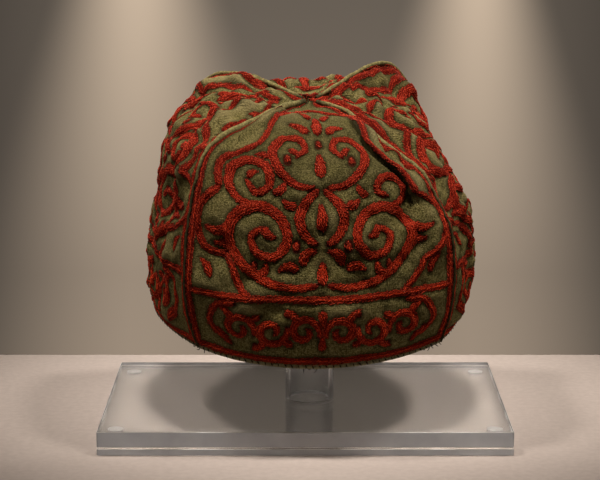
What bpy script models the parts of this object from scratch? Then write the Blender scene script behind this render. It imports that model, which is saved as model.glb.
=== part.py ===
"""A dervish cap of four embroidered cloth gores, held up by a clear acrylic stand.

Run with blender --background --python part.py, or from the text editor. Sizes in the tables
are millimetres; the objects are in metres, +Z up. The origin lies on the table, under the
middle of the whole thing, and the front gore faces -Y.

The cap's surface is one function of three values: the gore, 0 in front and counted on
towards +X, the place across the gore, from -1 at one seam to 1 at the next, and the level,
which counts the rows of SECTIONS from 0 at the hem to 10 at the apex.
"""

import math
from collections import namedtuple

import bmesh
import bpy
import numpy as np

MM = 0.001
GAP = 0.3  # kept between pieces that touch
SEAM_MERGE = 0.01

# Cap, as a whole
HEM_CENTRE = (2.5, 3.0, 67.3)
CAP_YAW = 4.1  # degrees, the front turned towards +X
CAP_TILT = 6.7  # degrees, the crown leaning towards the front
CLOTH = 2.2  # quilted cloth with its lining
SEAM_SHARPNESS = 2.2  # 2 is a round fold between two gores, higher is a sharper one
APEX_LEVEL = 9.86  # the gores end here and leave a small pinched hole

Section = namedtuple("Section", "name mid_radius mid_height seam_radius seam_height")
SECTIONS = [
    Section("hem", 86.0, 0.0, 91.0, 0.0),
    Section("lower wall", 89.5, 17.0, 96.5, 17.0),
    Section("belly", 89.5, 34.0, 98.5, 35.0),
    Section("waist", 87.0, 51.0, 97.5, 53.0),
    Section("upper wall", 83.5, 68.0, 95.0, 71.0),
    Section("below shoulder", 79.0, 84.0, 91.0, 89.0),
    Section("shoulder", 71.0, 99.0, 84.0, 105.0),
    Section("over shoulder", 57.0, 109.0, 70.0, 114.0),
    Section("top outer", 40.0, 114.0, 50.0, 117.0),
    Section("top inner", 20.0, 117.0, 26.0, 118.0),
    Section("apex", 0.0, 114.0, 0.0, 114.0),
]
TOP = len(SECTIONS) - 1

# How each gore's middle and each seam departs from the sections above, every 45 degrees
Meridian = namedtuple("Meridian", "name belly_out shoulder_out shoulder_up top_up hem_up hem_out")
MERIDIANS = [
    Meridian("front", 0.0, 0.0, 0.0, 0.0, -5.0, 0.0),
    Meridian("front right", 1.0, -5.0, -17.0, -6.0, 0.0, 0.5),
    Meridian("right", 0.0, -8.0, 0.0, 0.0, 3.0, -1.5),
    Meridian("back right", 0.0, 0.0, 8.0, 6.0, 0.0, 0.0),
    Meridian("back", 0.0, 0.0, 2.0, 2.0, 0.0, 0.0),
    Meridian("back left", 0.0, 2.0, 3.0, 5.0, 0.0, 0.0),
    Meridian("left", -1.5, 0.0, 8.0, 1.0, 3.5, 0.5),
    Meridian("front left", 1.0, 0.0, -3.0, -3.0, 0.0, -1.0),
]
# Where along the height each departure is centred, and how far it reaches, in sections
BELLY = (2.5, 2.5)
SHOULDER = (6.0, 3.0)
SHOULDER_LIFT = (6.3, 3.0)
TOP_LIFT = (8.0, 2.0)
HEM_LIFT = (0.0, 2.5)
HEM_FLARE = (0.0, 2.0)

# Folds and dents, as paths on a flat gore: across from its middle, and up from the hem
Fold = namedtuple("Fold", "name gore path reach height")
FOLDS = [
    Fold("overhang", 0, [(26, 136), (35, 120), (49, 103), (58, 88)], 10.0, 3.0),
    Fold("valley under it", 0, [(26, 114), (40, 101), (47, 86), (49, 72)], 11.0, -3.6),
    Fold("crown ridge", 0, [(20, 157), (28, 148), (33, 128)], 9.0, 1.6),
    Fold("left margin", 0, [(-19, 160), (-51, 121), (-63, 101)], 8.0, 1.6),
    Fold("left dent", 0, [(-48, 106), (-36, 111)], 13.0, -2.2),
    Fold("front fold", 1, [(-40, 34), (-47, 74), (-40, 112), (-20, 142)], 9.0, 2.4),
    Fold("front valley", 1, [(-28, 40), (-34, 78), (-27, 112), (-12, 138)], 8.0, -2.4),
    Fold("middle fold", 1, [(-12, 28), (-18, 70), (-12, 112)], 11.0, 1.6),
    Fold("corner hollow", 1, [(22, 132), (38, 112)], 13.0, -3.0),
    Fold("corner hollow", 2, [(-30, 136), (-42, 112)], 13.0, -2.4),
    Fold("slack", 2, [(10, 122), (30, 96)], 16.0, -2.0),
    Fold("corner wrinkle", 3, [(-18, 146), (-36, 122)], 9.0, 2.2),
    Fold("corner hollow", 3, [(-6, 132), (-26, 104)], 13.0, -2.6),
    Fold("front wrinkle", 3, [(12, 150), (40, 118), (52, 90)], 9.0, 2.0),
    Fold("wall crease", 3, [(38, 92), (44, 52)], 9.0, -2.0),
]
FOLD_MARGIN = 0.12  # share of a gore's half width over which folds die away at the seams

# Gores, as a mesh
GORE_NAMES = ["front_panel", "right_panel", "back_panel", "left_panel"]
GORE_COLUMNS = [28, 18, 18, 18]  # most in front, where the cloth is folded most
SEAM_CROWDING = 0.8  # 0 spaces the columns evenly, 1 crowds them most at the seams
GORE_LEVELS = np.concatenate([np.linspace(0, 9, 21), [9.4, 9.7, APEX_LEVEL]])

# Seam welts and hem binding
WELT_NAMES = ["front_right_welt", "back_right_welt", "back_left_welt", "front_left_welt"]
WELT_RADIUS = 1.3
WELT_SIDES = 8
WELT_LEVELS = GORE_LEVELS[:-1]
BINDING_OUTER = 0.5  # stands this far out past the cloth
BINDING_INNER = 0.4
BINDING_HEIGHT = 3.2
BINDING_STEPS = 72
BINDING_CORNER = 0.8

# Stand
PLATE_CENTRE = (0.0, 8.0)
PLATE_SIZE = (222.0, 152.0)
PLATE_UNDERSIDE = 5.0
PLATE_TOP = 13.3
PLATE_EDGE = 0.5
LOWER_PLATE_TOP = 3.8
PAD_RADIUS = 4.3
PAD_INSET = (9.0, 14.5)  # from the plates' side and front edges
PAD_SIDES = 20
PAD_NAMES = ["front_left_pad", "front_right_pad", "back_left_pad", "back_right_pad"]
POST_CENTRE = (2.5, 3.0)
POST_RADIUS = 13.65
POST_SIDES = 32
SUPPORT_RADIUS = 38.0
SUPPORT_UNDERSIDE = 168.0
SUPPORT_SIDES = 40
SUPPORT_CLEARANCE = 0.65  # more than elsewhere, because both faces are curved
ABOVE_CROWN = 210.0

# Materials: colour in linear light, roughness
Finish = namedtuple("Finish", "name colour roughness")
GREEN_CLOTH = Finish("olive green wool cloth", (0.136, 0.119, 0.052), 0.95)
GREEN_BINDING = Finish("dark green wool binding", (0.090, 0.082, 0.040), 0.95)
CLEAR_ACRYLIC = Finish("clear acrylic", (0.80, 0.80, 0.78), 0.08)


def clear_scene():
    for old in list(bpy.data.objects):
        bpy.data.objects.remove(old, do_unlink=True)


def section_value(column, level):
    """A column of SECTIONS at a level, by a Catmull-Rom curve through its values."""
    values = np.array([getattr(row, column) for row in SECTIONS])
    below = 2 * values[0] - values[1]
    above = values[-2] if column.endswith("height") else -values[-2]
    padded = np.concatenate([[below], values, [above]])
    level = np.clip(level, 0, TOP - 1e-9)
    row = np.floor(level).astype(int)
    f = level - row
    p0, p1, p2, p3 = (padded[row + step] for step in range(4))
    linear = (p2 - p0) * f
    square = (2 * p0 - 5 * p1 + 4 * p2 - p3) * f**2
    cube = (3 * p1 - p0 - 3 * p2 + p3) * f**3
    return 0.5 * (2 * p1 + linear + square + cube)


def bump(distance):
    """1 at no distance, falling smoothly to 0 at a distance of 1."""
    return (1 - np.clip(np.abs(distance), 0, 1) ** 2) ** 2


def around(level, place):
    centre, reach = place
    return bump((level - centre) / reach)


def smooth_surface(gore, across, level):
    """Points in millimetres in the cap's own frame: across is -1 to 1 from seam to seam."""
    across, level = np.broadcast_arrays(np.asarray(across, float), np.asarray(level, float))
    to_seam = np.abs(across) ** SEAM_SHARPNESS
    middle = MERIDIANS[2 * gore]
    seams = [MERIDIANS[(2 * gore + side) % 8] for side in (-1, 1)]

    def departure(column):
        seam = np.where(across < 0, getattr(seams[0], column), getattr(seams[1], column))
        return getattr(middle, column) * (1 - to_seam) + seam * to_seam

    radius = section_value("mid_radius", level) * (1 - to_seam)
    radius = radius + section_value("seam_radius", level) * to_seam
    radius = radius + departure("belly_out") * around(level, BELLY)
    radius = radius + departure("shoulder_out") * around(level, SHOULDER)
    radius = radius + departure("hem_out") * around(level, HEM_FLARE)
    height = section_value("mid_height", level) * (1 - to_seam)
    height = height + section_value("seam_height", level) * to_seam
    height = height + departure("shoulder_up") * around(level, SHOULDER_LIFT)
    height = height + departure("top_up") * around(level, TOP_LIFT)
    height = height + departure("hem_up") * around(level, HEM_LIFT)
    azimuth = np.radians(90 * gore + 45 * across)
    return np.stack([radius * np.sin(azimuth), -radius * np.cos(azimuth), height], -1)


def normal(gore, across, level):
    """Unit normals of the smooth surface, pointing out of the cap."""
    step = 1e-3
    across = np.clip(across, -1 + step, 1 - step)
    level = np.clip(level, step, TOP - step)
    right = smooth_surface(gore, across + step, level) - smooth_surface(gore, across - step, level)
    up = smooth_surface(gore, across, level + step) - smooth_surface(gore, across, level - step)
    out = np.cross(right, up)
    return out / np.linalg.norm(out, axis=-1, keepdims=True)


def flat_gore(gore):
    """Length up the gore's middle, and its half width, at a run of levels."""
    levels = np.linspace(0, TOP, 201)
    middle = smooth_surface(gore, 0 * levels, levels)
    steps = np.linalg.norm(np.diff(middle, axis=0), axis=-1)
    lengths = np.concatenate([[0], np.cumsum(steps)])
    across = np.linspace(-1, 1, 61)
    rows = smooth_surface(gore, across[None, :], levels[:, None])
    half_widths = np.linalg.norm(np.diff(rows, axis=1), axis=-1).sum(1) / 2
    return levels, lengths, half_widths


def distance_to_path(x, y, path):
    """Distance from the points to a path of straight pieces."""
    nearest = np.full(np.shape(x), np.inf)
    for (x0, y0), (x1, y1) in zip(path, path[1:]):
        dx, dy = x1 - x0, y1 - y0
        along = np.clip(((x - x0) * dx + (y - y0) * dy) / (dx**2 + dy**2), 0, 1)
        nearest = np.minimum(nearest, np.hypot(x - x0 - along * dx, y - y0 - along * dy))
    return nearest


def fold_height(gore, across, level):
    """How far the folds lift the cloth at the points."""
    levels, lengths, half_widths = flat_gore(gore)
    x = across * np.interp(level, levels, half_widths)
    y = np.interp(level, levels, lengths)
    lift = np.zeros(np.shape(x))
    for fold in FOLDS:
        if fold.gore == gore:
            lift = lift + fold.height * bump(distance_to_path(x, y, fold.path) / fold.reach)
    fade = np.clip((1 - np.abs(across)) / FOLD_MARGIN, 0, 1)
    return lift * fade * fade * (3 - 2 * fade)


def outer_surface(gore, across, level):
    across, level = np.broadcast_arrays(np.asarray(across, float), np.asarray(level, float))
    lift = fold_height(gore, across, level)[..., None]
    return smooth_surface(gore, across, level) + normal(gore, across, level) * lift


def seam_plane(gore, side):
    """Unit normal of the upright plane through a seam, pointing away from the gore."""
    azimuth = math.radians(90 * gore + 45 * side)
    return np.array([math.cos(azimuth), math.sin(azimuth), 0.0]) * side


def inner_direction(gore, across, level):
    """Where the lining lies from the outer face, for a wall one millimetre thick."""
    out = normal(gore, across, level)
    inward = -out
    for side in (-1, 1):
        plane = seam_plane(gore, side)
        at_seam = np.isclose(across, side)
        in_plane = out - (out @ plane)[..., None] * plane
        mitred = -in_plane / (in_plane**2).sum(-1, keepdims=True)
        inward = np.where(at_seam[..., None], mitred, inward)
    return inward


def to_world(points):
    """From the cap's own frame to the stand's, in millimetres."""
    yaw, tilt = math.radians(CAP_YAW), math.radians(CAP_TILT)
    x, y, z = points[..., 0], points[..., 1], points[..., 2]
    turned_x = x * math.cos(yaw) - y * math.sin(yaw)
    turned_y = x * math.sin(yaw) + y * math.cos(yaw)
    leaned_y = turned_y * math.cos(tilt) - z * math.sin(tilt)
    leaned_z = turned_y * math.sin(tilt) + z * math.cos(tilt)
    return np.stack([turned_x, leaned_y, leaned_z], -1) + np.array(HEM_CENTRE)


def material(finish):
    found = bpy.data.materials.get(finish.name)
    if found:
        return found
    made = bpy.data.materials.new(finish.name)
    made.use_nodes = True
    shader = made.node_tree.nodes["Principled BSDF"]
    shader.inputs["Base Color"].default_value = (*finish.colour, 1.0)
    shader.inputs["Roughness"].default_value = finish.roughness
    shader.inputs["Metallic"].default_value = 0.0
    return made


def add_object(name, mesh, finish, smooth_angle=40.0):
    mesh.materials.append(material(finish))
    mesh.shade_smooth()
    mesh.set_sharp_from_angle(angle=math.radians(smooth_angle))
    made = bpy.data.objects.new(name, mesh)
    bpy.context.scene.collection.objects.link(made)
    return made


def mesh_from(name, points, faces):
    mesh = bpy.data.meshes.new(name)
    mesh.from_pydata((np.asarray(points) * MM).tolist(), [], faces)
    shell = bmesh.new()
    shell.from_mesh(mesh)
    bmesh.ops.recalc_face_normals(shell, faces=shell.faces)
    shell.to_mesh(mesh)
    shell.free()
    return mesh


def sheet_faces(columns, rows, start):
    """Quads of a grid of points whose rows follow each other from start."""
    faces = []
    for row in range(rows - 1):
        for column in range(columns - 1):
            a = start + row * columns + column
            faces.append((a, a + 1, a + columns + 1, a + columns))
    return faces


def border(columns, rows):
    """The grid's edge points in order, once round."""
    bottom = list(range(columns))
    right = [row * columns + columns - 1 for row in range(1, rows)]
    top = [(rows - 1) * columns + column for column in range(columns - 2, -1, -1)]
    left = [row * columns for row in range(rows - 2, 0, -1)]
    return bottom + right + top + left


def thick_sheet(outer, inner):
    """Points and faces of a closed body between two grids of points of the same shape."""
    rows, columns = outer.shape[:2]
    count = rows * columns
    faces = sheet_faces(columns, rows, 0)
    faces += [tuple(reversed(face)) for face in sheet_faces(columns, rows, count)]
    ring = border(columns, rows)
    for a, b in zip(ring, ring[1:] + ring[:1]):
        faces.append((b, a, a + count, b + count))
    return np.concatenate([outer.reshape(-1, 3), inner.reshape(-1, 3)]), faces


def closed_tube(rings):
    """Points and faces of a tube through rings of points, with flat ends."""
    count, sides = rings.shape[:2]
    faces = []
    for ring in range(count - 1):
        for side in range(sides):
            a, b = ring * sides + side, ring * sides + (side + 1) % sides
            faces.append((a, b, b + sides, a + sides))
    faces.append(tuple(range(sides - 1, -1, -1)))
    faces.append(tuple((count - 1) * sides + side for side in range(sides)))
    return rings.reshape(-1, 3), faces


def closed_ring(loops):
    """Points and faces of a ring: loops of points that follow each other round a circle."""
    count, sides = loops.shape[:2]
    faces = []
    for loop in range(count):
        following = (loop + 1) % count
        for side in range(sides):
            other = (side + 1) % sides
            faces.append(
                (
                    loop * sides + side,
                    loop * sides + other,
                    following * sides + other,
                    following * sides + side,
                )
            )
    return loops.reshape(-1, 3), faces


def gore_grid(gore):
    """Positions across and up a gore, with the columns crowded towards the seams."""
    turn = SEAM_CROWDING * math.pi / 2
    across = np.sin(np.linspace(-turn, turn, GORE_COLUMNS[gore])) / math.sin(turn)
    return np.broadcast_arrays(across[None, :], GORE_LEVELS[:, None])


def make_gores():
    for gore, name in enumerate(GORE_NAMES):
        across, level = gore_grid(gore)
        outer = outer_surface(gore, across, level)
        inner = outer + inner_direction(gore, across, level) * CLOTH
        for side in (-1, 1):
            back_off = seam_plane(gore, side) * GAP / 2
            edge = np.isclose(across, side)
            outer[edge] -= back_off
            inner[edge] -= back_off
        points, faces = thick_sheet(to_world(outer), to_world(inner))
        add_object(name, mesh_from(name, points, faces), GREEN_CLOTH)


def seam_frame(gore, level):
    """A seam's line at the gore's right side, and the direction straight out of the ridge."""
    line = smooth_surface(gore, np.ones_like(level), level)
    out = -inner_direction(gore, np.ones_like(level), level)
    return line, out / np.linalg.norm(out, axis=-1, keepdims=True)


def make_welts():
    turn = np.arange(WELT_SIDES) * 2 * math.pi / WELT_SIDES
    for gore, name in enumerate(WELT_NAMES):
        line, out = seam_frame(gore, WELT_LEVELS)
        centre = line + out * (WELT_RADIUS + GAP)
        aside = np.broadcast_to(seam_plane(gore, 1), out.shape)
        rings = (
            centre[:, None, :]
            + out[:, None, :] * (np.cos(turn) * WELT_RADIUS)[None, :, None]
            + aside[:, None, :] * (np.sin(turn) * WELT_RADIUS)[None, :, None]
        )
        points, faces = closed_tube(to_world(rings))
        add_object(name, mesh_from(name, points, faces), GREEN_CLOTH)


def hem_line(steps):
    """The cloth's outer and inner lower edge, once round the head."""
    outer, inner = [], []
    for step in range(steps):
        azimuth = 360 * step / steps - 45
        gore = int((azimuth + 45) // 90)
        across = np.array([(azimuth - 90 * gore) / 45])
        level = np.zeros(1)
        point = outer_surface(gore, across, level)
        outer.append(point[0])
        inner.append((point + inner_direction(gore, across, level) * CLOTH)[0])
    return np.array(outer), np.array(inner)


def make_binding():
    outer, inner = hem_line(BINDING_STEPS)
    aside = outer - inner
    aside[:, 2] = 0
    aside /= np.linalg.norm(aside, axis=-1, keepdims=True)
    outer = outer + aside * BINDING_OUTER
    inner = inner - aside * BINDING_INNER
    width = np.linalg.norm((outer - inner)[:, :2], axis=-1)
    profile = [
        (0.0, 0.0),
        (1.0, 0.0),
        (1.0, -BINDING_HEIGHT + BINDING_CORNER),
        (1.0 - BINDING_CORNER / width.mean(), -BINDING_HEIGHT),
        (BINDING_CORNER / width.mean(), -BINDING_HEIGHT),
        (0.0, -BINDING_HEIGHT + BINDING_CORNER),
    ]
    loops = []
    for share, drop in profile:
        loop = inner + (outer - inner) * share
        top = np.minimum(outer[:, 2], inner[:, 2]) - GAP
        loops.append(np.column_stack([loop[:, :2], top + drop]))
    points, faces = closed_ring(to_world(np.stack(loops, axis=1)))
    add_object("hem_binding", mesh_from("hem_binding", points, faces), GREEN_BINDING)


def add_cylinder(name, centre, bottom, top, radius, sides, finish):
    mesh = bpy.data.meshes.new(name)
    body = bmesh.new()
    bmesh.ops.create_cone(
        body,
        cap_ends=True,
        segments=sides,
        radius1=radius * MM,
        radius2=radius * MM,
        depth=(top - bottom) * MM,
    )
    body.to_mesh(mesh)
    body.free()
    made = add_object(name, mesh, finish)
    made.location = (centre[0] * MM, centre[1] * MM, (bottom + top) / 2 * MM)
    return made


def make_plate(name, underside, top):
    mesh = bpy.data.meshes.new(name)
    body = bmesh.new()
    bmesh.ops.create_cube(body, size=1.0)
    size = (PLATE_SIZE[0] * MM, PLATE_SIZE[1] * MM, (top - underside) * MM)
    bmesh.ops.scale(body, vec=size, verts=body.verts)
    bmesh.ops.bevel(body, geom=body.edges, offset=PLATE_EDGE * MM, segments=1, affect="EDGES")
    body.to_mesh(mesh)
    body.free()
    plate = add_object(name, mesh, CLEAR_ACRYLIC)
    middle = (top + underside) / 2
    plate.location = (PLATE_CENTRE[0] * MM, PLATE_CENTRE[1] * MM, middle * MM)


def make_pads():
    """Thin round pads that hold the upper plate off the lower one."""
    for index, name in enumerate(PAD_NAMES):
        aside = -1 if index % 2 == 0 else 1
        back = -1 if index < 2 else 1
        x = PLATE_CENTRE[0] + aside * (PLATE_SIZE[0] / 2 - PAD_INSET[0])
        y = PLATE_CENTRE[1] + back * (PLATE_SIZE[1] / 2 - PAD_INSET[1])
        bottom, top = LOWER_PLATE_TOP + GAP, PLATE_UNDERSIDE - GAP
        add_cylinder(name, (x, y), bottom, top, PAD_RADIUS, PAD_SIDES, CLEAR_ACRYLIC)


def make_post():
    bottom, top = PLATE_TOP + GAP, SUPPORT_UNDERSIDE - GAP
    add_cylinder("post", POST_CENTRE, bottom, top, POST_RADIUS, POST_SIDES, CLEAR_ACRYLIC)


def make_hollow():
    """The room under the lining as one closed body, a guide that shapes the support's top."""
    points, faces = [], []
    for gore in range(4):
        across, level = gore_grid(gore)
        inward = inner_direction(gore, across, level) * (CLOTH + SUPPORT_CLEARANCE)
        lining = to_world(outer_surface(gore, across, level) + inward)
        faces += sheet_faces(*across.shape[::-1], sum(len(rows) for rows in points))
        points.append(lining.reshape(-1, 3))
    mesh = bpy.data.meshes.new("hollow")
    mesh.from_pydata((np.concatenate(points) * MM).tolist(), [], faces)
    body = bmesh.new()
    body.from_mesh(mesh)
    bmesh.ops.remove_doubles(body, verts=body.verts, dist=SEAM_MERGE * MM)
    bmesh.ops.holes_fill(body, edges=body.edges)
    bmesh.ops.triangulate(body, faces=body.faces)
    bmesh.ops.recalc_face_normals(body, faces=body.faces)
    body.to_mesh(mesh)
    body.free()
    hollow = bpy.data.objects.new("hollow", mesh)
    bpy.context.scene.collection.objects.link(hollow)
    hollow.hide_render = True
    hollow.display_type = "WIRE"
    return hollow


def make_support():
    """A round head on the post whose top follows the lining of the crown."""
    support = add_cylinder(
        "crown_support",
        POST_CENTRE,
        SUPPORT_UNDERSIDE,
        ABOVE_CROWN,
        SUPPORT_RADIUS,
        SUPPORT_SIDES,
        CLEAR_ACRYLIC,
    )
    shape = support.modifiers.new("follow the crown", "BOOLEAN")
    shape.operation = "INTERSECT"
    shape.solver = "EXACT"
    shape.object = make_hollow()


def main():
    clear_scene()
    make_gores()
    make_welts()
    make_binding()
    make_plate("lower_plate", 0.0, LOWER_PLATE_TOP)
    make_pads()
    make_plate("base_plate", PLATE_UNDERSIDE, PLATE_TOP)
    make_post()
    make_support()


main()
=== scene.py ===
import math
from collections import namedtuple
from functools import partial

import bmesh
import bpy
import numpy as np
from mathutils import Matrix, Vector
from mathutils.kdtree import KDTree


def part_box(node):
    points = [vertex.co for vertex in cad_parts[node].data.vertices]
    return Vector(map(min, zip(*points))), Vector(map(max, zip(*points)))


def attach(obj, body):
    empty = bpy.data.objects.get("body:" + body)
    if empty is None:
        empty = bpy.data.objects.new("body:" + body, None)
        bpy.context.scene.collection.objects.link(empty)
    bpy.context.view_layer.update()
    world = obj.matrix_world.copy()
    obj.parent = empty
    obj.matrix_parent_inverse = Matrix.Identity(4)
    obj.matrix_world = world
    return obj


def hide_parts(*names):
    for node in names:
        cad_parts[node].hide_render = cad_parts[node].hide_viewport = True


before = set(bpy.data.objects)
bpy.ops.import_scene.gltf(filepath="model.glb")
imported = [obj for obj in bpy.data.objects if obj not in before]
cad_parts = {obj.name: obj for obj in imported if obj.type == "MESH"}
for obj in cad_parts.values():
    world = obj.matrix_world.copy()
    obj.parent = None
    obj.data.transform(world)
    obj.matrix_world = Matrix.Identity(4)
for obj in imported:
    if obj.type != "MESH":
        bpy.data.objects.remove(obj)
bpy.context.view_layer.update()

# The looks of a dervish cap of four cloth gores, embroidered in red chain stitch, on its clear
# acrylic stand. The tables are in millimetres and the meshes in metres. A place on the cap is
# a gore, 0 in front and counted on towards +X, and then either across and level, as in the
# sections' table, or x and y on the flat gore: across from its middle, and up from the hem.

MM = 0.001
ROOT = "root"

# Cap, as a whole
HEM_CENTRE = (2.5, 3.0, 67.3)
CAP_YAW = 4.1
CAP_TILT = 6.7
CLOTH = 2.2
SEAM_SHARPNESS = 2.2
APEX_LEVEL = 9.93

Section = namedtuple("Section", "name mid_radius mid_height seam_radius seam_height")
SECTIONS = [
    Section("hem", 86.0, 0.0, 91.0, 0.0),
    Section("lower wall", 89.5, 17.0, 96.5, 17.0),
    Section("belly", 89.5, 34.0, 98.5, 35.0),
    Section("waist", 87.0, 51.0, 97.5, 53.0),
    Section("upper wall", 83.5, 68.0, 95.0, 71.0),
    Section("below shoulder", 79.0, 84.0, 91.0, 89.0),
    Section("shoulder", 71.0, 99.0, 84.0, 105.0),
    Section("over shoulder", 57.0, 109.0, 70.0, 114.0),
    Section("top outer", 40.0, 114.0, 50.0, 117.0),
    Section("top inner", 20.0, 117.0, 26.0, 118.0),
    Section("apex", 0.0, 116.4, 0.0, 116.4),
]
TOP = len(SECTIONS) - 1

Meridian = namedtuple("Meridian", "name belly_out shoulder_out shoulder_up top_up hem_up hem_out")
MERIDIANS = [
    Meridian("front", 0.0, 0.0, 0.0, 0.0, -5.0, 0.0),
    Meridian("front right", 1.0, -5.0, -17.0, -6.0, 0.0, 0.5),
    Meridian("right", 0.0, -8.0, 0.0, 0.0, 3.0, -1.5),
    Meridian("back right", 0.0, 0.0, 8.0, 6.0, 0.0, 0.0),
    Meridian("back", 0.0, 0.0, 2.0, 2.0, 0.0, 0.0),
    Meridian("back left", 0.0, 2.0, 3.0, 5.0, 0.0, 0.0),
    Meridian("left", -1.5, 0.0, 8.0, 1.0, 3.5, 0.5),
    Meridian("front left", 1.0, 0.0, -3.0, -3.0, 0.0, -1.0),
]
BELLY = (2.5, 2.5)
SHOULDER = (6.0, 3.0)
SHOULDER_LIFT = (6.3, 3.0)
TOP_LIFT = (8.0, 2.0)
HEM_LIFT = (0.0, 2.5)
HEM_FLARE = (0.0, 2.0)

# Folds on the flat gores: reach to each side, height out of the cloth, and lean across it,
# which turns a ridge into an overhang
Fold = namedtuple("Fold", "name gore path reach height lean")
FOLDS = [
    Fold("crease by the overhang", 0, [(32, 149), (38, 136), (42, 122)], 3.0, -2.6, 0.0),
    Fold("hollow under the cusp", 0, [(50, 93), (48.5, 86), (48, 78)], 6.5, -3.4, 0.0),
    Fold("pleat", 0, [(37, 150), (43, 137), (46, 124)], 3.6, 1.8, -1.0),
    Fold("margin crease", 0, [(46, 136), (50, 123), (52, 111)], 2.8, -2.6, 0.0),
    Fold("margin swell", 0, [(51, 127), (58, 111), (63, 99)], 6.0, 1.6, 0.0),
    Fold("left margin", 0, [(-19, 161), (-36, 141), (-51, 121), (-60, 107), (-64, 94)], 6.0, 2.0, 1.0),
    Fold("left margin valley", 0, [(-14, 158), (-31, 138), (-46, 118)], 6.0, -1.4, 0.0),
    Fold("left dent", 0, [(-48, 106), (-36, 111)], 13.0, -2.4, 0.0),
    Fold("front fold", 1, [(-40, 34), (-47, 74), (-42, 108), (-24, 142)], 7.0, 2.8, 1.5),
    Fold("front valley", 1, [(-30, 34), (-37, 76), (-31, 110), (-16, 140)], 5.5, -3.0, 0.0),
    Fold("second fold", 1, [(-22, 40), (-27, 78), (-21, 112), (-8, 140)], 6.0, 2.4, 1.2),
    Fold("second valley", 1, [(-14, 44), (-17, 80), (-11, 112)], 6.0, -2.0, 0.0),
    Fold("third fold", 1, [(-4, 52), (-6, 86), (0, 118)], 8.0, 1.6, 0.0),
    Fold("corner hollow", 1, [(22, 132), (38, 112)], 12.0, -3.4, 0.0),
    Fold("corner wrinkle", 1, [(12, 150), (30, 138), (50, 104)], 5.0, 2.2, 0.0),
    Fold("corner hollow", 2, [(-30, 136), (-42, 112)], 13.0, -2.4, 0.0),
    Fold("slack", 2, [(10, 122), (30, 96)], 16.0, -2.2, 0.0),
    Fold("slack ridge", 2, [(-6, 118), (14, 84)], 9.0, 1.6, 0.0),
    Fold("corner wrinkle", 3, [(-12, 158), (-24, 142), (-44, 116)], 5.0, 2.4, 0.0),
    Fold("corner valley", 3, [(-4, 150), (-16, 134), (-36, 108)], 6.0, -2.8, 0.0),
    Fold("second wrinkle", 3, [(4, 150), (-6, 130), (-22, 102)], 6.0, 2.0, 0.0),
    Fold("front wrinkle", 3, [(12, 154), (24, 138), (40, 118), (52, 90)], 6.0, 2.2, 0.0),
    Fold("front valley", 3, [(16, 128), (34, 106)], 6.0, -2.0, 0.0),
    Fold("crumple by the seam", 3, [(17, 160), (9, 148)], 3.4, 1.3, 0.0),
    Fold("crumple by the seam", 3, [(29, 150), (19, 137)], 3.4, 1.4, 0.0),
    Fold("crumple by the seam", 3, [(40, 136), (29, 126)], 3.4, 1.4, 0.0),
    Fold("crumple by the seam", 3, [(51, 120), (38, 114)], 3.6, 1.5, 0.0),
    Fold("wall crease", 3, [(38, 92), (44, 52)], 7.0, -2.4, 0.0),
    Fold("wall ridge", 3, [(28, 84), (32, 48)], 7.0, 1.4, 0.0),
]
FOLD_MARGIN = 0.10  # they fade out this near to a seam, and this near to the hem
HEM_MARGIN = 0.5
# The front gore's one deep fold: its crest stands out and hangs to the left over a valley
Overhang = namedtuple("Overhang", "gore path crest crest_reach step valley valley_reach lean")
OVERHANG = Overhang(
    gore=0,
    path=[(17, 155.5), (24, 146.5), (28.5, 134), (33, 122), (40.2, 113.4), (47, 106.4), (51.4, 99.6),
          (54, 92.5), (55.6, 85)],
    crest=3.8, crest_reach=11.0, step=1.8, valley=-1.7, valley_reach=4.0, lean=-4.2,
)
OVERHANG_FADES = (0.22, 0.14)  # the shares of its path over which it starts and ends
OVERHANG_LEAN_REACH = 9.0
# Slack of the cloth: waves of these lengths and heights, in directions from a fixed seed
Wave = namedtuple("Wave", "length height count")
SLACK = [Wave(46.0, 0.55, 5), Wave(19.0, 0.28, 7), Wave(9.5, 0.14, 9)]
# The short waves are this much higher over the crown, and this much lower on all the front gore
CRUMPLE = 1.9
CRUMPLE_START = 105
CRUMPLE_REACH = 35
FRONT_CRUMPLE = 0.6
LONG_WAVE = 30
PUFF = 0.6  # the cloth swells by this much between lines of stitching
PUFF_REACH = 3.2

# Cloth meshes; the lining has half the columns and rows
GORE_NAMES = ["front_cloth", "right_cloth", "back_cloth", "left_cloth"]
GORE_NODES = ["front_panel", "right_panel", "back_panel", "left_panel"]
GORE_COLUMNS = 113
GORE_ROWS = 151
FAR = 9.0  # a distance that is clear of every stroke and seam

# Embroidery
ROW_SPACING = 1.1
STITCH_SPACING = 1.5
STITCH_LENGTH = 2.5
STITCH_STAGGER = 0.4
STITCH_STRAY = 0.28
STRAND_WIDTH = 0.6
STRAND_HEIGHT = 0.62
STITCH_SLANT = 15.0
STROKE_HEIGHT = 0.18  # of a stroke's width
BED_DEPTH = 0.35
BED_SIDES = 7
BED_WIDTH = 0.93  # of a stroke's
ROWS_WIDTH = 0.83
OUTLINE_WIDTH = 3.4
SEAM_LINE_WIDTH = 2.8
CREST_LINE_WIDTH = 2.8
FIELD_STROKES = 1.1  # the field's strokes are this much wider than they are drawn

# Welts, binding and whip stitches
WELT_RADIUS = 1.25
WELT_SIDES = 12
WELT_ROWS = 240
# painted shade on the welts, low on the wall and by the apex
WELT_PAINTED_SHADE = ((4.6, 1.8), (9.5, 0.25))  # levels below and above which it darkens, and over how much
BINDING_STEPS = 360
BINDING_SIDES = 12
BINDING_HEIGHT = 3.2
BINDING_DROP = 1.3  # the binding reaches this far below the cloth's edge
WHIP_SPACING = 3.6
WHIP_LENGTH = 2.9
WHIP_WIDTH = 0.8
WHIP_HEIGHT = 0.6
WHIP_SLANT = 62.0
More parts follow.
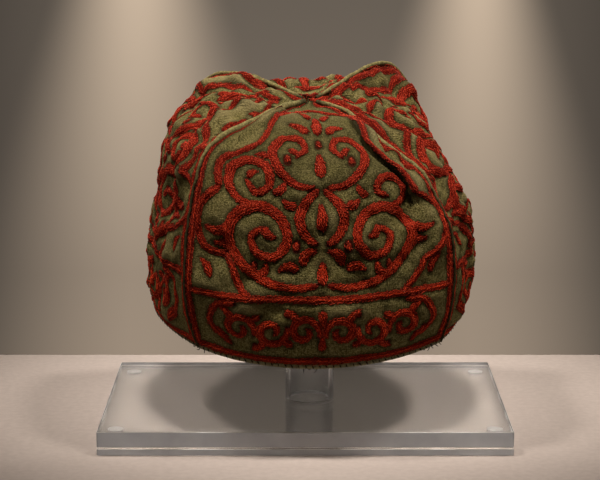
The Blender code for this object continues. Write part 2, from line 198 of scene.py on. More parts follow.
# Ends of thread that have worked loose: degrees round the hem from the front left seam, length
LOOSE_ENDS = [(0, 2.8), (2, 2.2), (358, 2.4), (36, 2.8), (38, 3.4), (40, 2.6), (43, 3.2), (84, 2.4),
              (86, 3.2), (87, 2.4), (88, 2.8), (90, 2.4), (131, 2.8), (178, 3.2), (182, 2.4), (240, 2.8),
              (266, 3.2), (269, 2.6), (300, 2.4)]
LOOSE_RADIUS = 0.3
LOOSE_SIDES = 6
LOOSE_RINGS = 12
LOOSE_ROOT = (-1.4, 0.9)  # outward from the fold's face, and up from its lowest line

# Stand
PLATE_EDGE = 0.35
PLATE_CORNER = 1.2
PLATE_LIFT = 0.25  # closes the CAD's gaps to the pads
POST_SIDES = 96
POST_BEVEL = 0.6
POST_WALL = 2.6
PAD_SIDES = 48
PAD_BEVEL = 0.1

# Camera and stage
CAMERA_PLACE = (-0.0028, -1.092, 0.3097)
CAMERA_PITCH = 10.65
CAMERA_LENS = 120.0
TABLE_BACK = 0.156


def linear(value):
    """A hex colour, as seen on screen, in linear light."""
    channels = [int(value[at : at + 2], 16) / 255 for at in (1, 3, 5)]
    return tuple(c / 12.92 if c <= 0.04045 else ((c + 0.055) / 1.055) ** 2.4 for c in channels)


# Curves and shapes that several parts use


def catmull_rom(p0, p1, p2, p3, f):
    """The curve from p1 to p2, at the share f of the way."""
    square = (2 * p0 - 5 * p1 + 4 * p2 - p3) * f**2
    cube = (3 * p1 - p0 - 3 * p2 + p3) * f**3
    return 0.5 * (2 * p1 + (p2 - p0) * f + square + cube)


def length_gone(points):
    """Length along a path, from its start to each of its points."""
    return np.concatenate([[0], np.cumsum(np.linalg.norm(np.diff(points, axis=0), axis=-1))])


def circle(sides):
    """Angles once round."""
    return np.arange(sides) * 2 * math.pi / sides


def ease(value):
    """0 up to 0 and 1 from 1 on, with a smooth step between."""
    value = np.clip(value, 0, 1)
    return value * value * (3 - 2 * value)


# Cap surface


def section_value(column, level):
    """A column of SECTIONS at a level, by a Catmull-Rom curve through its values."""
    values = np.array([getattr(row, column) for row in SECTIONS])
    below = 2 * values[0] - values[1]
    above = values[-2] if column.endswith("height") else -values[-2]
    padded = np.concatenate([[below], values, [above]])
    level = np.clip(level, 0, TOP - 1e-9)
    row = np.floor(level).astype(int)
    return catmull_rom(*(padded[row + step] for step in range(4)), level - row)


def bump(distance):
    """1 at no distance, falling smoothly to 0 at a distance of 1."""
    return (1 - np.clip(np.abs(distance), 0, 1) ** 2) ** 2


def around(level, place):
    centre, reach = place
    return bump((level - centre) / reach)


def smooth_surface(gore, across, level):
    """Points in millimetres in the cap's own frame, without folds."""
    across, level = np.broadcast_arrays(np.asarray(across, float), np.asarray(level, float))
    to_seam = np.abs(across) ** SEAM_SHARPNESS
    middle = MERIDIANS[2 * gore]
    seams = [MERIDIANS[(2 * gore + side) % 8] for side in (-1, 1)]

    def departure(column):
        seam = np.where(across < 0, getattr(seams[0], column), getattr(seams[1], column))
        return getattr(middle, column) * (1 - to_seam) + seam * to_seam

    radius = section_value("mid_radius", level) * (1 - to_seam)
    radius = radius + section_value("seam_radius", level) * to_seam
    radius = radius + departure("belly_out") * around(level, BELLY)
    radius = radius + departure("shoulder_out") * around(level, SHOULDER)
    radius = radius + departure("hem_out") * around(level, HEM_FLARE)
    height = section_value("mid_height", level) * (1 - to_seam)
    height = height + section_value("seam_height", level) * to_seam
    height = height + departure("shoulder_up") * around(level, SHOULDER_LIFT)
    height = height + departure("top_up") * around(level, TOP_LIFT)
    height = height + departure("hem_up") * around(level, HEM_LIFT)
    azimuth = np.radians(90 * gore + 45 * across)
    return np.stack([radius * np.sin(azimuth), -radius * np.cos(azimuth), height], -1)


def unit(vectors):
    return vectors / np.linalg.norm(vectors, axis=-1, keepdims=True)


def directions(surface, gore, across, level):
    """Unit vectors to the right, and out of the cap, on a surface function."""
    step = 2e-3
    across = np.clip(across, -1 + step, 1 - step)
    level = np.clip(level, step, TOP - step)
    right = surface(gore, across + step, level) - surface(gore, across - step, level)
    up = surface(gore, across, level + step) - surface(gore, across, level - step)
    return unit(right), unit(np.cross(right, up))


def flat_gore(gore):
    """Length up the gore's middle, and its half width, at a run of levels."""
    levels = np.linspace(0, TOP, 201)
    lengths = length_gone(smooth_surface(gore, 0 * levels, levels))
    across = np.linspace(-1, 1, 61)
    rows = smooth_surface(gore, across[None, :], levels[:, None])
    half_widths = np.linalg.norm(np.diff(rows, axis=1), axis=-1).sum(1) / 2
    return levels, lengths, half_widths


FLAT = [flat_gore(gore) for gore in range(4)]


def to_flat(gore, across, level):
    levels, lengths, half_widths = FLAT[gore]
    return across * np.interp(level, levels, half_widths), np.interp(level, levels, lengths)


def from_flat(gore, x, y):
    levels, lengths, half_widths = FLAT[gore]
    level = np.interp(y, lengths, levels)
    half = np.interp(level, levels, half_widths)
    return np.clip(x / np.maximum(half, 0.5), -0.995, 0.995), level


def half_width(gore, y):
    levels, lengths, half_widths = FLAT[gore]
    return np.interp(np.interp(y, lengths, levels), levels, half_widths)


def distance_to_path(x, y, path):
    """Distance from the points to a path of straight pieces."""
    nearest = np.full(np.shape(x), np.inf)
    for (x0, y0), (x1, y1) in zip(path, path[1:]):
        dx, dy = x1 - x0, y1 - y0
        along = np.clip(((x - x0) * dx + (y - y0) * dy) / (dx**2 + dy**2), 0, 1)
        nearest = np.minimum(nearest, np.hypot(x - x0 - along * dx, y - y0 - along * dy))
    return nearest


def along_path(x, y, path):
    """Signed distance from a path, above 0 on its left hand, and the share of it gone."""
    nearest, share = np.full(np.shape(x), 1e9), np.zeros(np.shape(x))
    total = sum(math.dist(a, b) for a, b in zip(path, path[1:]))
    gone = 0.0
    for (x0, y0), (x1, y1) in zip(path, path[1:]):
        length = math.dist((x0, y0), (x1, y1))
        dx, dy = (x1 - x0) / length, (y1 - y0) / length
        along = np.clip((x - x0) * dx + (y - y0) * dy, 0, length)
        aside_x, aside_y = x - x0 - along * dx, y - y0 - along * dy
        distance = np.hypot(aside_x, aside_y) * np.where(dx * aside_y - dy * aside_x > 0, 1, -1)
        closer = np.abs(distance) < np.abs(nearest)
        nearest = np.where(closer, distance, nearest)
        share = np.where(closer, (gone + along) / total, share)
        gone += length
    return nearest, share


def overhang_at(x, y):
    """Lift and lean of the front gore's deep fold, whose crest hangs past the foot of its step."""
    fold = OVERHANG
    distance, share = along_path(x, y, fold.path)
    below = -distance
    fall = fold.crest + (fold.valley - fold.crest) * ease(below / fold.step)
    floor = fold.valley * bump((below - fold.step) / fold.valley_reach)
    lift = np.where(distance > 0, fold.crest * bump(distance / fold.crest_reach), fall)
    lift = np.where(below > fold.step, floor, lift)
    start, finish = OVERHANG_FADES
    ends = ease(share / start) * ease((1 - share) / finish)
    behind = bump(distance / OVERHANG_LEAN_REACH)
    leaning = np.where(distance > 0, behind, 1 - ease(below / fold.step))
    return lift * ends, fold.lean * leaning * ends


def slack_waves(gore, x, y):
    """Gentle unevenness of old cloth, from waves in many directions."""
    chance = np.random.default_rng(40 + gore)
    lift = np.zeros(np.shape(x))
    for wave in SLACK:
        for _ in range(wave.count):
            turn, phase = chance.uniform(0, 2 * math.pi, 2)
            length = wave.length * chance.uniform(0.75, 1.35)
            along = x * math.cos(turn) + y * math.sin(turn)
            height = wave.height
            if wave.length < LONG_WAVE:
                crumple = 1 + (CRUMPLE - 1) * ease((y - CRUMPLE_START) / CRUMPLE_REACH)
                height = height * (FRONT_CRUMPLE if gore == 0 else crumple)
            lift = lift + height * np.sin(2 * math.pi * along / length + phase)
    return lift


def folds_at(gore, across, level):
    """How far folds and slack lift the cloth, and push it across."""
    x, y = to_flat(gore, across, level)
    lift = slack_waves(gore, x, y)
    lean = np.zeros(np.shape(x))
    for fold in FOLDS:
        if fold.gore == gore:
            share = bump(distance_to_path(x, y, fold.path) / fold.reach)
            lift = lift + fold.height * share
            lean = lean + fold.lean * share
    if gore == OVERHANG.gore:
        deep, over = overhang_at(x, y)
        lift, lean = lift + deep, lean + over
    fade = ease((1 - np.abs(across)) / FOLD_MARGIN)
    hem = np.clip(level / HEM_MARGIN, 0, 1)
    return lift * fade * hem, lean * fade


def cloth_surface(gore, across, level):
    across, level = np.broadcast_arrays(np.asarray(across, float), np.asarray(level, float))
    lift, lean = folds_at(gore, across, level)
    right, out = directions(smooth_surface, gore, across, level)
    base = smooth_surface(gore, across, level)
    return base + out * lift[..., None] + right * lean[..., None]


def seam_plane(gore, side):
    """Unit normal of the upright plane through a seam, pointing away from the gore."""
    azimuth = math.radians(90 * gore + 45 * side)
    return np.array([math.cos(azimuth), math.sin(azimuth), 0.0]) * side


def inner_direction(gore, across, level):
    """Where the lining lies from the outer face, for a wall one millimetre thick."""
    out = directions(smooth_surface, gore, across, level)[1]
    inward = -out
    for side in (-1, 1):
        plane = seam_plane(gore, side)
        in_plane = out - (out @ plane)[..., None] * plane
        mitred = -in_plane / (in_plane**2).sum(-1, keepdims=True)
        inward = np.where(np.isclose(across, side)[..., None], mitred, inward)
    return inward


def turned(vectors):
    """Directions from the cap's own frame to the stand's."""
    yaw, tilt = math.radians(CAP_YAW), math.radians(CAP_TILT)
    x, y, z = vectors[..., 0], vectors[..., 1], vectors[..., 2]
    turned_x = x * math.cos(yaw) - y * math.sin(yaw)
    turned_y = x * math.sin(yaw) + y * math.cos(yaw)
    leaned_y = turned_y * math.cos(tilt) - z * math.sin(tilt)
    leaned_z = turned_y * math.sin(tilt) + z * math.cos(tilt)
    return np.stack([turned_x, leaned_y, leaned_z], -1)


def to_world(points):
    return turned(points) + np.array(HEM_CENTRE)


# Meshes


def mesh_from(name, points, faces):
    mesh = bpy.data.meshes.new(name)
    mesh.from_pydata((np.asarray(points) * MM).tolist(), [], faces)
    shell = bmesh.new()
    shell.from_mesh(mesh)
    bmesh.ops.recalc_face_normals(shell, faces=shell.faces)
    shell.to_mesh(mesh)
    shell.free()
    return mesh


def finished(name, body):
    """What was built as a bmesh, as a mesh."""
    mesh = bpy.data.meshes.new(name)
    body.to_mesh(mesh)
    body.free()
    return mesh


def rows_from(name, places, edges, away):
    """Rows of edges to set thread on, with the direction away from the cloth at each point."""
    mesh = bpy.data.meshes.new(name)
    mesh.from_pydata((places * MM).tolist(), edges, [])
    up = mesh.attributes.new("up", "FLOAT_VECTOR", "POINT")
    up.data.foreach_set("vector", away.astype(np.float32).ravel())
    return mesh


def add_piece(name, mesh, material, smooth_angle=50.0):
    """A finished mesh as a piece of the object, riding on its one body."""
    if material:
        mesh.materials.append(material)
    mesh.shade_smooth()
    mesh.set_sharp_from_angle(angle=math.radians(smooth_angle))
    piece = bpy.data.objects.new(name, mesh)
    bpy.context.scene.collection.objects.link(piece)
    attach(piece, ROOT)
    return piece


def sheet_faces(columns, rows, start):
    faces = []
    for row in range(rows - 1):
        for column in range(columns - 1):
            a = start + row * columns + column
            faces.append((a, a + 1, a + columns + 1, a + columns))
    return faces


def border(columns, rows, start):
    """The grid's edge points in order, once round."""
    bottom = list(range(columns))
    right = [row * columns + columns - 1 for row in range(1, rows)]
    top = [(rows - 1) * columns + column for column in range(columns - 2, -1, -1)]
    left = [row * columns for row in range(rows - 2, 0, -1)]
    return [start + point for point in bottom + right + top + left]


def tube_faces(count, sides, closed=False):
    """Quads of a tube through count rings of points; an open one has flat ends."""
    faces = []
    for ring in range(count if closed else count - 1):
        here, there = ring * sides, (ring + 1) % count * sides
        for side in range(sides):
            other = (side + 1) % sides
            faces.append((here + side, here + other, there + other, there + side))
    if not closed:
        faces.append(tuple(range(sides - 1, -1, -1)))
        faces.append(tuple((count - 1) * sides + side for side in range(sides)))
    return faces


def set_attribute(mesh, name, values):
    mesh.attributes.new(name, "FLOAT", "POINT").data.foreach_set("value", np.asarray(values, np.float32))


# Strokes of the embroidery, on the flat gore

Stroke = namedtuple("Stroke", "points widths")


def smooth_path(points, step=0.8):
    """A Catmull-Rom curve through the points, with a point about every step millimetres."""
    p = np.array(points, float)
    padded = np.concatenate([[2 * p[0] - p[1]], p, [2 * p[-1] - p[-2]]])
    curve = []
    for at in range(len(p) - 1):
        count = max(2, int(np.linalg.norm(p[at + 1] - p[at]) / step))
        f = np.linspace(0, 1, count, endpoint=False)[:, None]
        curve.append(catmull_rom(*padded[at : at + 4], f))
    return np.concatenate(curve + [p[-1:]])


def progress(points):
    """Share of the path's length at each of its points."""
    length = length_gone(points)
    return length / length[-1]


def line(points, width=OUTLINE_WIDTH):
    path = smooth_path(points)
    return Stroke(path, np.full(len(path), width))


def swelling(points, start, middle, end):
    """A stroke that swells towards its middle, as a drawn tendril does."""
    path = smooth_path(points)
    s = progress(path)
    ends = start * (1 - s) + end * s
    return Stroke(path, ends + (middle - ends) * np.sin(math.pi * s) ** 0.8)


def leaf(base, tip, width, bend=0.0):
    """A leaf from base to tip, broad at a third of its length; bend bows it to its left."""
    base, tip = np.array(base, float), np.array(tip, float)
    along = tip - base
    aside = np.array([-along[1], along[0]]) * bend
    path = smooth_path([base, base + along * 0.5 + aside, tip])
    s = progress(path)
    return Stroke(path, 1.2 + (width - 1.2) * np.sin(math.pi * s**0.7) ** 0.9)


def spiral(centre, start_radius, end_radius, start_angle, sweep, widths):
    """A scroll round a centre from one radius to another, angles in degrees."""
    f = np.linspace(0, 1, 24)
    radius = start_radius + (end_radius - start_radius) * f
    angle = np.radians(start_angle + sweep * f)
    points = np.column_stack([radius * np.cos(angle), radius * np.sin(angle)]) + np.array(centre)
    return swelling(points, *widths)


def dot(centre, size=4.6):
    x, y = centre
    path = smooth_path([(x, y - size * 0.28), (x + 0.1, y), (x, y + size * 0.28)], 0.5)
    return Stroke(path, np.full(len(path), size))


BAND_HEIGHT = 38.5
HEM_LINE_HEIGHT = 3.6
CARTOUCHE_LOBES = [
    [(0, 163.5), (9, 156), (19, 142), (27, 130), (34.5, 119.5)],
    [(34.5, 119.5), (42, 118), (50, 112), (55.5, 103), (54, 92)],
    [(54, 92), (62, 88), (67.5, 79), (67, 68), (57.5, 59)],
    [(57.5, 59), (51, 57), (46.5, 51), (44, 45), (40, 39.5)],
]
# The front gore's outline is listed point by point; its right half runs along the crest of the overhang
FRONT_LEFT_LOBES = [
    [(0, 163.5), (-8, 161.5), (-16, 157.5), (-22.3, 148.6), (-27.7, 136), (-31.4, 125.9), (-33.9, 121.7)],
    [(-33.9, 121.7), (-40.1, 117.8), (-46.7, 113.6), (-51.7, 109.5), (-54.2, 103), (-53.9, 93.8)],
    [(-53.9, 93.8), (-61.1, 86.7), (-65.1, 78.8), (-65.2, 68), (-61.4, 61.5), (-51.5, 59.8)],
    [(-51.5, 59.8), (-48, 53.2), (-45.5, 46.3), (-42.3, 41.1), (-39, 39.6)],
]
CREST_LINE = [(0, 163.5), (9, 160), (18, 156.3), (25, 147.3), (29.6, 134.5), (34, 122.6), (41, 114.3),
              (47.9, 107.2), (52.4, 100.2), (55.2, 93.5)]
FRONT_RIGHT_LOBES = [
    [(55.2, 93.5), (60, 90.5), (65.4, 84.1), (67.8, 75.7), (68, 64.5), (63, 58), (56.3, 54.6)],
    [(56.3, 54.6), (54.1, 49.4), (48.2, 42.6), (43.8, 38)],
]


def seam_line(gore, side):
    """The line along a seam; over the front left shoulder it is narrow, and the left gore has none."""
    heights = np.linspace(3, 108 if (gore, side) == (3, 1) else 178.5, 26)
    inset = np.interp(heights, [100, 130, 165, 178.5], [2.0, 3.2, 2.8, 1.6])
    width = np.full(len(heights), SEAM_LINE_WIDTH)
    if (gore, side) == (0, -1):
        inset = np.interp(heights, [95, 112], [2.0, 1.0])
        width = np.interp(heights, [90.75, 111.81], [SEAM_LINE_WIDTH, 1.5])
    path = smooth_path(np.column_stack([(half_width(gore, heights) - inset) * side, heights]))
    return Stroke(path, np.interp(path[:, 1], heights, width))


def outlines(gore):
    """Cartouche, band line, hem line and the lines along the seams."""
    if gore == OVERHANG.gore:
        strokes = [line(lobe) for lobe in FRONT_LEFT_LOBES + FRONT_RIGHT_LOBES]
        strokes.append(line(CREST_LINE, CREST_LINE_WIDTH))
    else:
        strokes = mirrored([line(lobe) for lobe in CARTOUCHE_LOBES])
    for height, inset in ((BAND_HEIGHT, 3.2), (HEM_LINE_HEIGHT, 0.8)):
        edge = half_width(gore, height) - inset
        strokes.append(line([(x, height) for x in np.linspace(-edge, edge, 9)]))
    strokes += [seam_line(gore, side) for side in (-1, 1)]
    end_lobes = [(47, 35), (55, 34), (60, 28), (61.5, 21), (58, 15), (50, 9.5)]
    strokes += mirrored([line(end_lobes, 3.2)])
    return strokes


def shoulder_scroll():
    """The scroll beside the middle, high in the field."""
    return [
        swelling([(33, 86), (43, 88), (49, 96), (47, 106), (38, 111), (29, 106), (28, 97), (35, 93),
                  (40, 99)], 2.4, 4.6, 2.4),
        leaf((39, 100), (34, 104), 3.6, -0.2),
        leaf((26, 93), (19, 99), 4.0, 0.15),
        leaf((28, 112), (35, 115), 3.4, 0.12),
    ]


def small_shoulder_scroll():
    """The same under the overhang, which leaves it less room."""
    return [
        swelling([(34, 86), (41, 87), (46, 92), (45.5, 99.5), (39.5, 103.5), (33, 101), (31.5, 95),
                  (36.5, 92)], 2.4, 4.2, 2.4),
        leaf((26, 92), (20, 97.5), 3.8, 0.15),
    ]


def side_scrolls(shoulder):
    """One side of the field."""
    return shoulder + [
        swelling([(3, 46), (17, 44.5), (32, 48), (44, 57), (50, 69), (45, 81), (33, 86), (22, 80),
                  (19, 69), (26, 60.5), (35, 62), (38, 70), (32, 75)], 2.4, 5.0, 2.6),
        leaf((31, 76), (25, 70), 4.2, 0.2),
        leaf((49, 75), (62, 73), 4.6, -0.2),
        leaf((47, 60), (58, 65), 4.2, 0.22),
        leaf((36, 50), (30, 57), 3.8, 0.2),
        swelling([(4, 96), (14, 98), (23, 106), (26, 117), (20, 127), (11, 127), (8, 119), (13, 113)],
                 2.4, 4.5, 2.4),
        leaf((13, 114), (17, 119), 3.8, 0.1),
        leaf((11, 56), (3, 64), 4.8, -0.25),
        leaf((13, 54), (24, 53), 4.4, 0.2),
        leaf((13, 87), (21, 90), 4.2, -0.16),
        swelling([(3, 67), (9, 72), (12, 80), (9, 88), (2, 95)], 2.6, 4.8, 2.4),
        leaf((6, 131), (16, 139), 4.8, 0.2),
        leaf((4, 146), (9, 153), 3.8, 0.1),
        dot((18, 111)),
        dot((14, 66)),
        dot((37, 55), 3.8),
    ]


def flipped(stroke):
    return Stroke(stroke.points * np.array([-1.0, 1.0]), stroke.widths)


def mirrored(strokes):
    return strokes + [flipped(stroke) for stroke in strokes]


def scrollwork(gore):
    """A field of scrolls and split leaves about the middle, of a kind known from old textiles."""
    right = side_scrolls(small_shoulder_scroll() if gore == OVERHANG.gore else shoulder_scroll())
    left = [flipped(stroke) for stroke in side_scrolls(shoulder_scroll())]
    middle = [
        leaf((0, 46), (0, 58), 5.6),
        leaf((0, 74), (0, 88), 5.2),
        leaf((0, 101), (0, 116), 5.4),
        leaf((0, 130), (0, 150), 5.8),
        dot((0, 123), 4.2),
    ]
    return [Stroke(stroke.points, FIELD_STROKES * stroke.widths) for stroke in left + right + middle]


def band_scroll():
    """A running scroll between the hem line and the band line, outward from the middle."""
    half = []
    for index, x in enumerate((10.0, 27.5, 45.0)):
        side = 1 if index % 2 == 0 else -1
        half.append(spiral((x, 20.5), 8.8, 2.4, 200 * side, -420 * side, (2.2, 4.2, 2.4)))
        half.append(leaf((x + 3, 20.5 + 5 * side), (x + 10, 20.5 + 12 * side), 4.0, 0.12 * side))
        half.append(leaf((x + 6, 20.5 - 8 * side), (x + 12, 20.5 - 3 * side), 3.6, -0.15 * side))
    half.append(dot((19, 31), 3.6))
    half.append(dot((36, 10.5), 3.6))
    middle = [leaf((0, 9), (0, 18), 4.2), leaf((0, 33), (0, 24), 4.2)]
    return mirrored(half) + middle


def corner_sprigs(gore):
    """Leaves in the field outside the cartouche."""
    half = [
        leaf((60, 47), (65, 56), 4.0, 0.12),
        leaf((56, 108), (47, 124), 4.4, -0.14),
        leaf((44, 126), (33, 141), 4.4, -0.14),
        leaf((30, 143), (19, 157), 4.2, -0.1),
    ]
    return mirrored(half) if gore != 0 else mirrored(half[:1])


def gore_strokes(gore):
    return outlines(gore) + scrollwork(gore) + band_scroll() + corner_sprigs(gore)


STROKES = [gore_strokes(gore) for gore in range(4)]


def stitched_distance(gore, x, y):
    """Distance from the points to the edge of the nearest stroke, less than 0 on it."""
    places = np.concatenate([stroke.points for stroke in STROKES[gore]])
    widths = np.concatenate([stroke.widths for stroke in STROKES[gore]])
    tree = KDTree(len(places))
    for index, (px, py) in enumerate(places):
        tree.insert((px, py, 0.0), index)
    tree.balance()
    found = [tree.find((px, py, 0.0)) for px, py in zip(x.ravel(), y.ravel())]
    distance = [hit[2] - widths[hit[1]] / 2 for hit in found]
    return np.array(distance).reshape(x.shape)


def gore_faces():
    """Faces of the outer cloth, of its lining, and of the rim that joins them."""
    columns, rows = GORE_COLUMNS // 2 + 1, GORE_ROWS // 2 + 1
    count = GORE_COLUMNS * GORE_ROWS
    outer = sheet_faces(GORE_COLUMNS, GORE_ROWS, 0)
    inner = [tuple(reversed(face)) for face in sheet_faces(columns, rows, count)]
    outer_ring = border(GORE_COLUMNS, GORE_ROWS, 0)
    outer_ring.append(outer_ring[0])
    inner_ring = border(columns, rows, count)
    inner_ring.append(inner_ring[0])
    rim = []
    for at in range(len(inner_ring) - 1):
        first, middle, last = outer_ring[2 * at : 2 * at + 3]
        rim.append((last, middle, first, inner_ring[at], inner_ring[at + 1]))
    return outer, inner, rim


def make_cloth(gore, cloth, lining):
    """One gore: the outer cloth with its folds, swelling between the stitches, and a lining."""
    levels = np.linspace(0, 1, GORE_ROWS) * APEX_LEVEL
    across, level = np.meshgrid(np.linspace(-1, 1, GORE_COLUMNS), levels)
    x, y = to_flat(gore, across, level)
    distance = stitched_distance(gore, x, y)
    puff = PUFF * (1 - np.exp(-((np.clip(distance, 0, None) / PUFF_REACH) ** 2)))
    puff = puff * np.clip((1 - np.abs(across)) / 0.03, 0, 1)
    out = directions(smooth_surface, gore, across, level)[1]
    outer = cloth_surface(gore, across, level) + out * puff[..., None]
    lift = folds_at(gore, across, level)[0]
    inner = smooth_surface(gore, across, level) + inner_direction(gore, across, level) * CLOTH
    inner = (inner + out * np.minimum(lift, 0.5 * lift)[..., None])[::2, ::2]
    outer_faces, inner_faces, rim = gore_faces()
    faces = outer_faces + inner_faces + rim
    points = to_world(np.concatenate([outer.reshape(-1, 3), inner.reshape(-1, 3)]))
    mesh = bpy.data.meshes.new(GORE_NAMES[gore])
    mesh.from_pydata((points * MM).tolist(), [], faces)
    to_seam = np.clip(half_width(gore, y) - np.abs(x), 0, FAR)
    # painted shade, on the front gore only, over its crown and away from its seams
    soil = ease((level - 4.6) / 1.6) * ease((0.9 - np.abs(across)) / 0.3) * (gore == OVERHANG.gore)
    on_lining = np.ones(inner[..., 0].size)
    values = {"stitched": (distance, FAR), "lift": (lift, 0), "seam": (to_seam, FAR), "soil": (soil, 0)}
    for name, (on_cloth_side, inside) in values.items():
        set_attribute(mesh, name, np.concatenate([on_cloth_side.ravel(), inside * on_lining]))
    flat = np.stack([x, y], -1)
    flat = np.concatenate([flat.reshape(-1, 2), flat[::2, ::2].reshape(-1, 2)]) * MM
    corners = np.empty(len(mesh.loops), np.int32)
    mesh.loops.foreach_get("vertex_index", corners)
    uv = mesh.uv_layers.new(name="flat gore")
    uv.data.foreach_set("uv", flat[corners].astype(np.float32).ravel())
    mesh.materials.append(cloth)
    piece = add_piece(GORE_NAMES[gore], mesh, lining, smooth_angle=80.0)
    slots = np.zeros(len(faces), np.int32)
    slots[len(outer_faces) : len(outer_faces) + len(inner_faces)] = 1
    mesh.polygons.foreach_set("material_index", slots)
    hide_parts(GORE_NODES[gore])


# Chain stitches


def stroke_frame(path, widths):
    """Directions to the left of a stroke, half its width and its height, both rounded at its ends."""
    tangent = unit(np.gradient(path, axis=0))
    aside = np.column_stack([-tangent[:, 1], tangent[:, 0]])
    length = length_gone(path)
    to_end = np.minimum(length, length[-1] - length)
    rounding = np.sqrt(1 - (1 - np.clip(to_end / (widths / 2), 0.08, 1)) ** 2)
    return aside, widths / 2 * rounding, np.clip(STROKE_HEIGHT * widths, 0.4, 0.9) * rounding


def on_cloth(gore, flat, rise):
    """Points at a height over the folded cloth, and the cloth's normals there."""
    across, level = from_flat(gore, flat[:, 0], flat[:, 1])
    out = directions(cloth_surface, gore, across, level)[1]
    return to_world(cloth_surface(gore, across, level) + out * rise[:, None]), turned(out)


def painted_bounce_share(gore, flat):
    """Painted light: from 0 on the crown to 1 in the band above the hem, brightening the thread low down,
    where light is thrown up from the table.
    """
    return 1 - ease((flat[:, 1] - 15) / (110 if gore == 0 else 65))


def make_beds(gore, name, thread):
    """The rounded body of every stroke, of laid threads, that the chain stitches cover."""
    turn = np.linspace(0, math.pi, BED_SIDES)
    flat, rises, faces, start = [], [], [], 0
    for path, widths in STROKES[gore]:
        aside, half, height = stroke_frame(path, widths)
        offset = BED_WIDTH * half[:, None] * np.cos(turn)
        places = path[:, None, :] + aside[:, None, :] * offset[..., None]
        flat.append(places.reshape(-1, 2))
        rises.append((np.outer(height + BED_DEPTH, np.sin(turn) ** 0.85) - BED_DEPTH).ravel())
        faces += sheet_faces(BED_SIDES, len(path), start)
        faces.append(tuple(start + side for side in range(BED_SIDES)))
        start += BED_SIDES * len(path)
        faces.append(tuple(start - 1 - side for side in range(BED_SIDES)))
    points = on_cloth(gore, np.concatenate(flat), np.concatenate(rises))[0]
    mesh = mesh_from(name, points, faces)
    set_attribute(mesh, "rise", np.concatenate(rises))
    set_attribute(mesh, "fresh", painted_bounce_share(gore, np.concatenate(flat)))
    # the beds take a dark shade and a low top, so they show as painted shade between the stitches
    set_attribute(mesh, "shade", np.full(start, 0.9))
    set_attribute(mesh, "top", np.full(start, 0.3))
    piece = add_piece(name, mesh, thread)


def stitch_rows(gore):
    """Rows of chain stitch over every stroke of a gore: points, their size and their rise."""
    rows = []
    chance = np.random.default_rng(90 + gore)
    for path, widths in STROKES[gore]:
        aside, half, height = stroke_frame(path, widths)
        widest = widths.max()
        count = max(2, int(round(widest / ROW_SPACING)))
        for row in range(count):
            place = 2 * ROWS_WIDTH * (row / (count - 1) - 0.5)
            edge = row in (0, count - 1)
            keep = widths > (0.3 if edge else 0.55) * widest
            offset = half * place + chance.normal(0, 0.06)
            points = (path + aside * offset[:, None])[keep]
            if len(points) < 4:
                continue
            points[0] += (points[1] - points[0]) * chance.uniform(0, 0.95)
            skip = chance.integers(0, 2)
            size = np.clip(0.8 + 0.2 * widths[keep] / widest, 0.8, 1.0)
            rise = ((height + BED_DEPTH) * (1 - place**2) ** 0.42 - BED_DEPTH)[keep] - 0.04
            rows.append((points[skip:], size[skip:], rise[skip:]))
    return rows


def rows_mesh(gore):
    """The rows as edges lying on the strokes, with the cloth's normal at each point."""
    points, sizes, rises, edges, start = [], [], [], [], 0
    for path, size, rise in stitch_rows(gore):
        points.append(path)
        sizes.append(size)
        rises.append(rise)
        edges += [(start + at, start + at + 1) for at in range(len(path) - 1)]
        start += len(path)
    flat = np.concatenate(points)
    places, out = on_cloth(gore, flat, np.concatenate(rises))
    mesh = rows_from("stitch rows", places, edges, out)
    set_attribute(mesh, "size", np.concatenate(sizes))
    set_attribute(mesh, "rise", np.concatenate(rises))
    set_attribute(mesh, "fresh", painted_bounce_share(gore, flat))
    return mesh


def spindle(body, length, width, height, turn, ahead=0.0, offset=0.0):
    """A pointed strand, thickest in its middle, lying along X."""
    rotation = math.radians(turn)
    ring = [(0, width / 2, 0), (0, 0, height / 2), (0, -width / 2, 0), (0, 0, -height / 2)]
    verts = []
    for x, y, z in [(-length / 2, 0, 0)] + ring + [(length / 2, 0, 0)]:
        along = x * math.cos(rotation) - y * math.sin(rotation)
        aside = x * math.sin(rotation) + y * math.cos(rotation)
        verts.append(body.verts.new(((along + ahead) * MM, (aside + offset) * MM, z * MM)))
    for side in range(4):
        first, second = verts[1 + side], verts[1 + (side + 1) % 4]
        body.faces.new((verts[0], first, second))
        body.faces.new((verts[5], second, first))


def make_stitch():
    """One link of chain stitch: two strands that meet at its head."""
    body = bmesh.new()
    for side in (-1, 1):
        ahead, offset = STITCH_STAGGER * side, 0.26 * side
        spindle(body, STITCH_LENGTH, STRAND_WIDTH, STRAND_HEIGHT, -STITCH_SLANT * side, ahead, offset)
    bmesh.ops.recalc_face_normals(body, faces=body.faces)
    mesh = finished("chain stitch", body)
    height = np.array([vertex.co.z for vertex in mesh.vertices]) / (STRAND_HEIGHT / 2 * MM)
    # top: height on a strand, which the thread's colour turns into painted shade below and a painted
    # highlight above
    set_attribute(mesh, "top", np.clip(0.55 + 0.45 * height, 0, 1))
    mesh.shade_smooth()
    return bpy.data.objects.new("chain stitch", mesh)


def connect(node, inputs):
    """Sets a node's inputs, or links those given as a socket, or as a node for its first output."""
    for name, value in inputs.items():
        value = value.outputs[0] if isinstance(value, bpy.types.Node) else value
        if isinstance(value, bpy.types.NodeSocket):
            node.id_data.links.new(value, node.inputs[name])
        else:
            node.inputs[name].default_value = value


def add_node(tree, kind, inputs=None, **settings):
    """Adds a node with its settings and inputs."""
    node = tree.nodes.new(kind)
    for name, value in settings.items():
        setattr(node, name, value)
    connect(node, inputs or {})
    return node


THREAD_INPUTS = {
    "Rows": "Geometry", "Link": "Object", "Spacing": "Float", "Turn": "Float", "Stray": "Float",
    "Seed": "Int", "Thread": "Material",
}
LINK_SIZES = (0.8, 1.18)


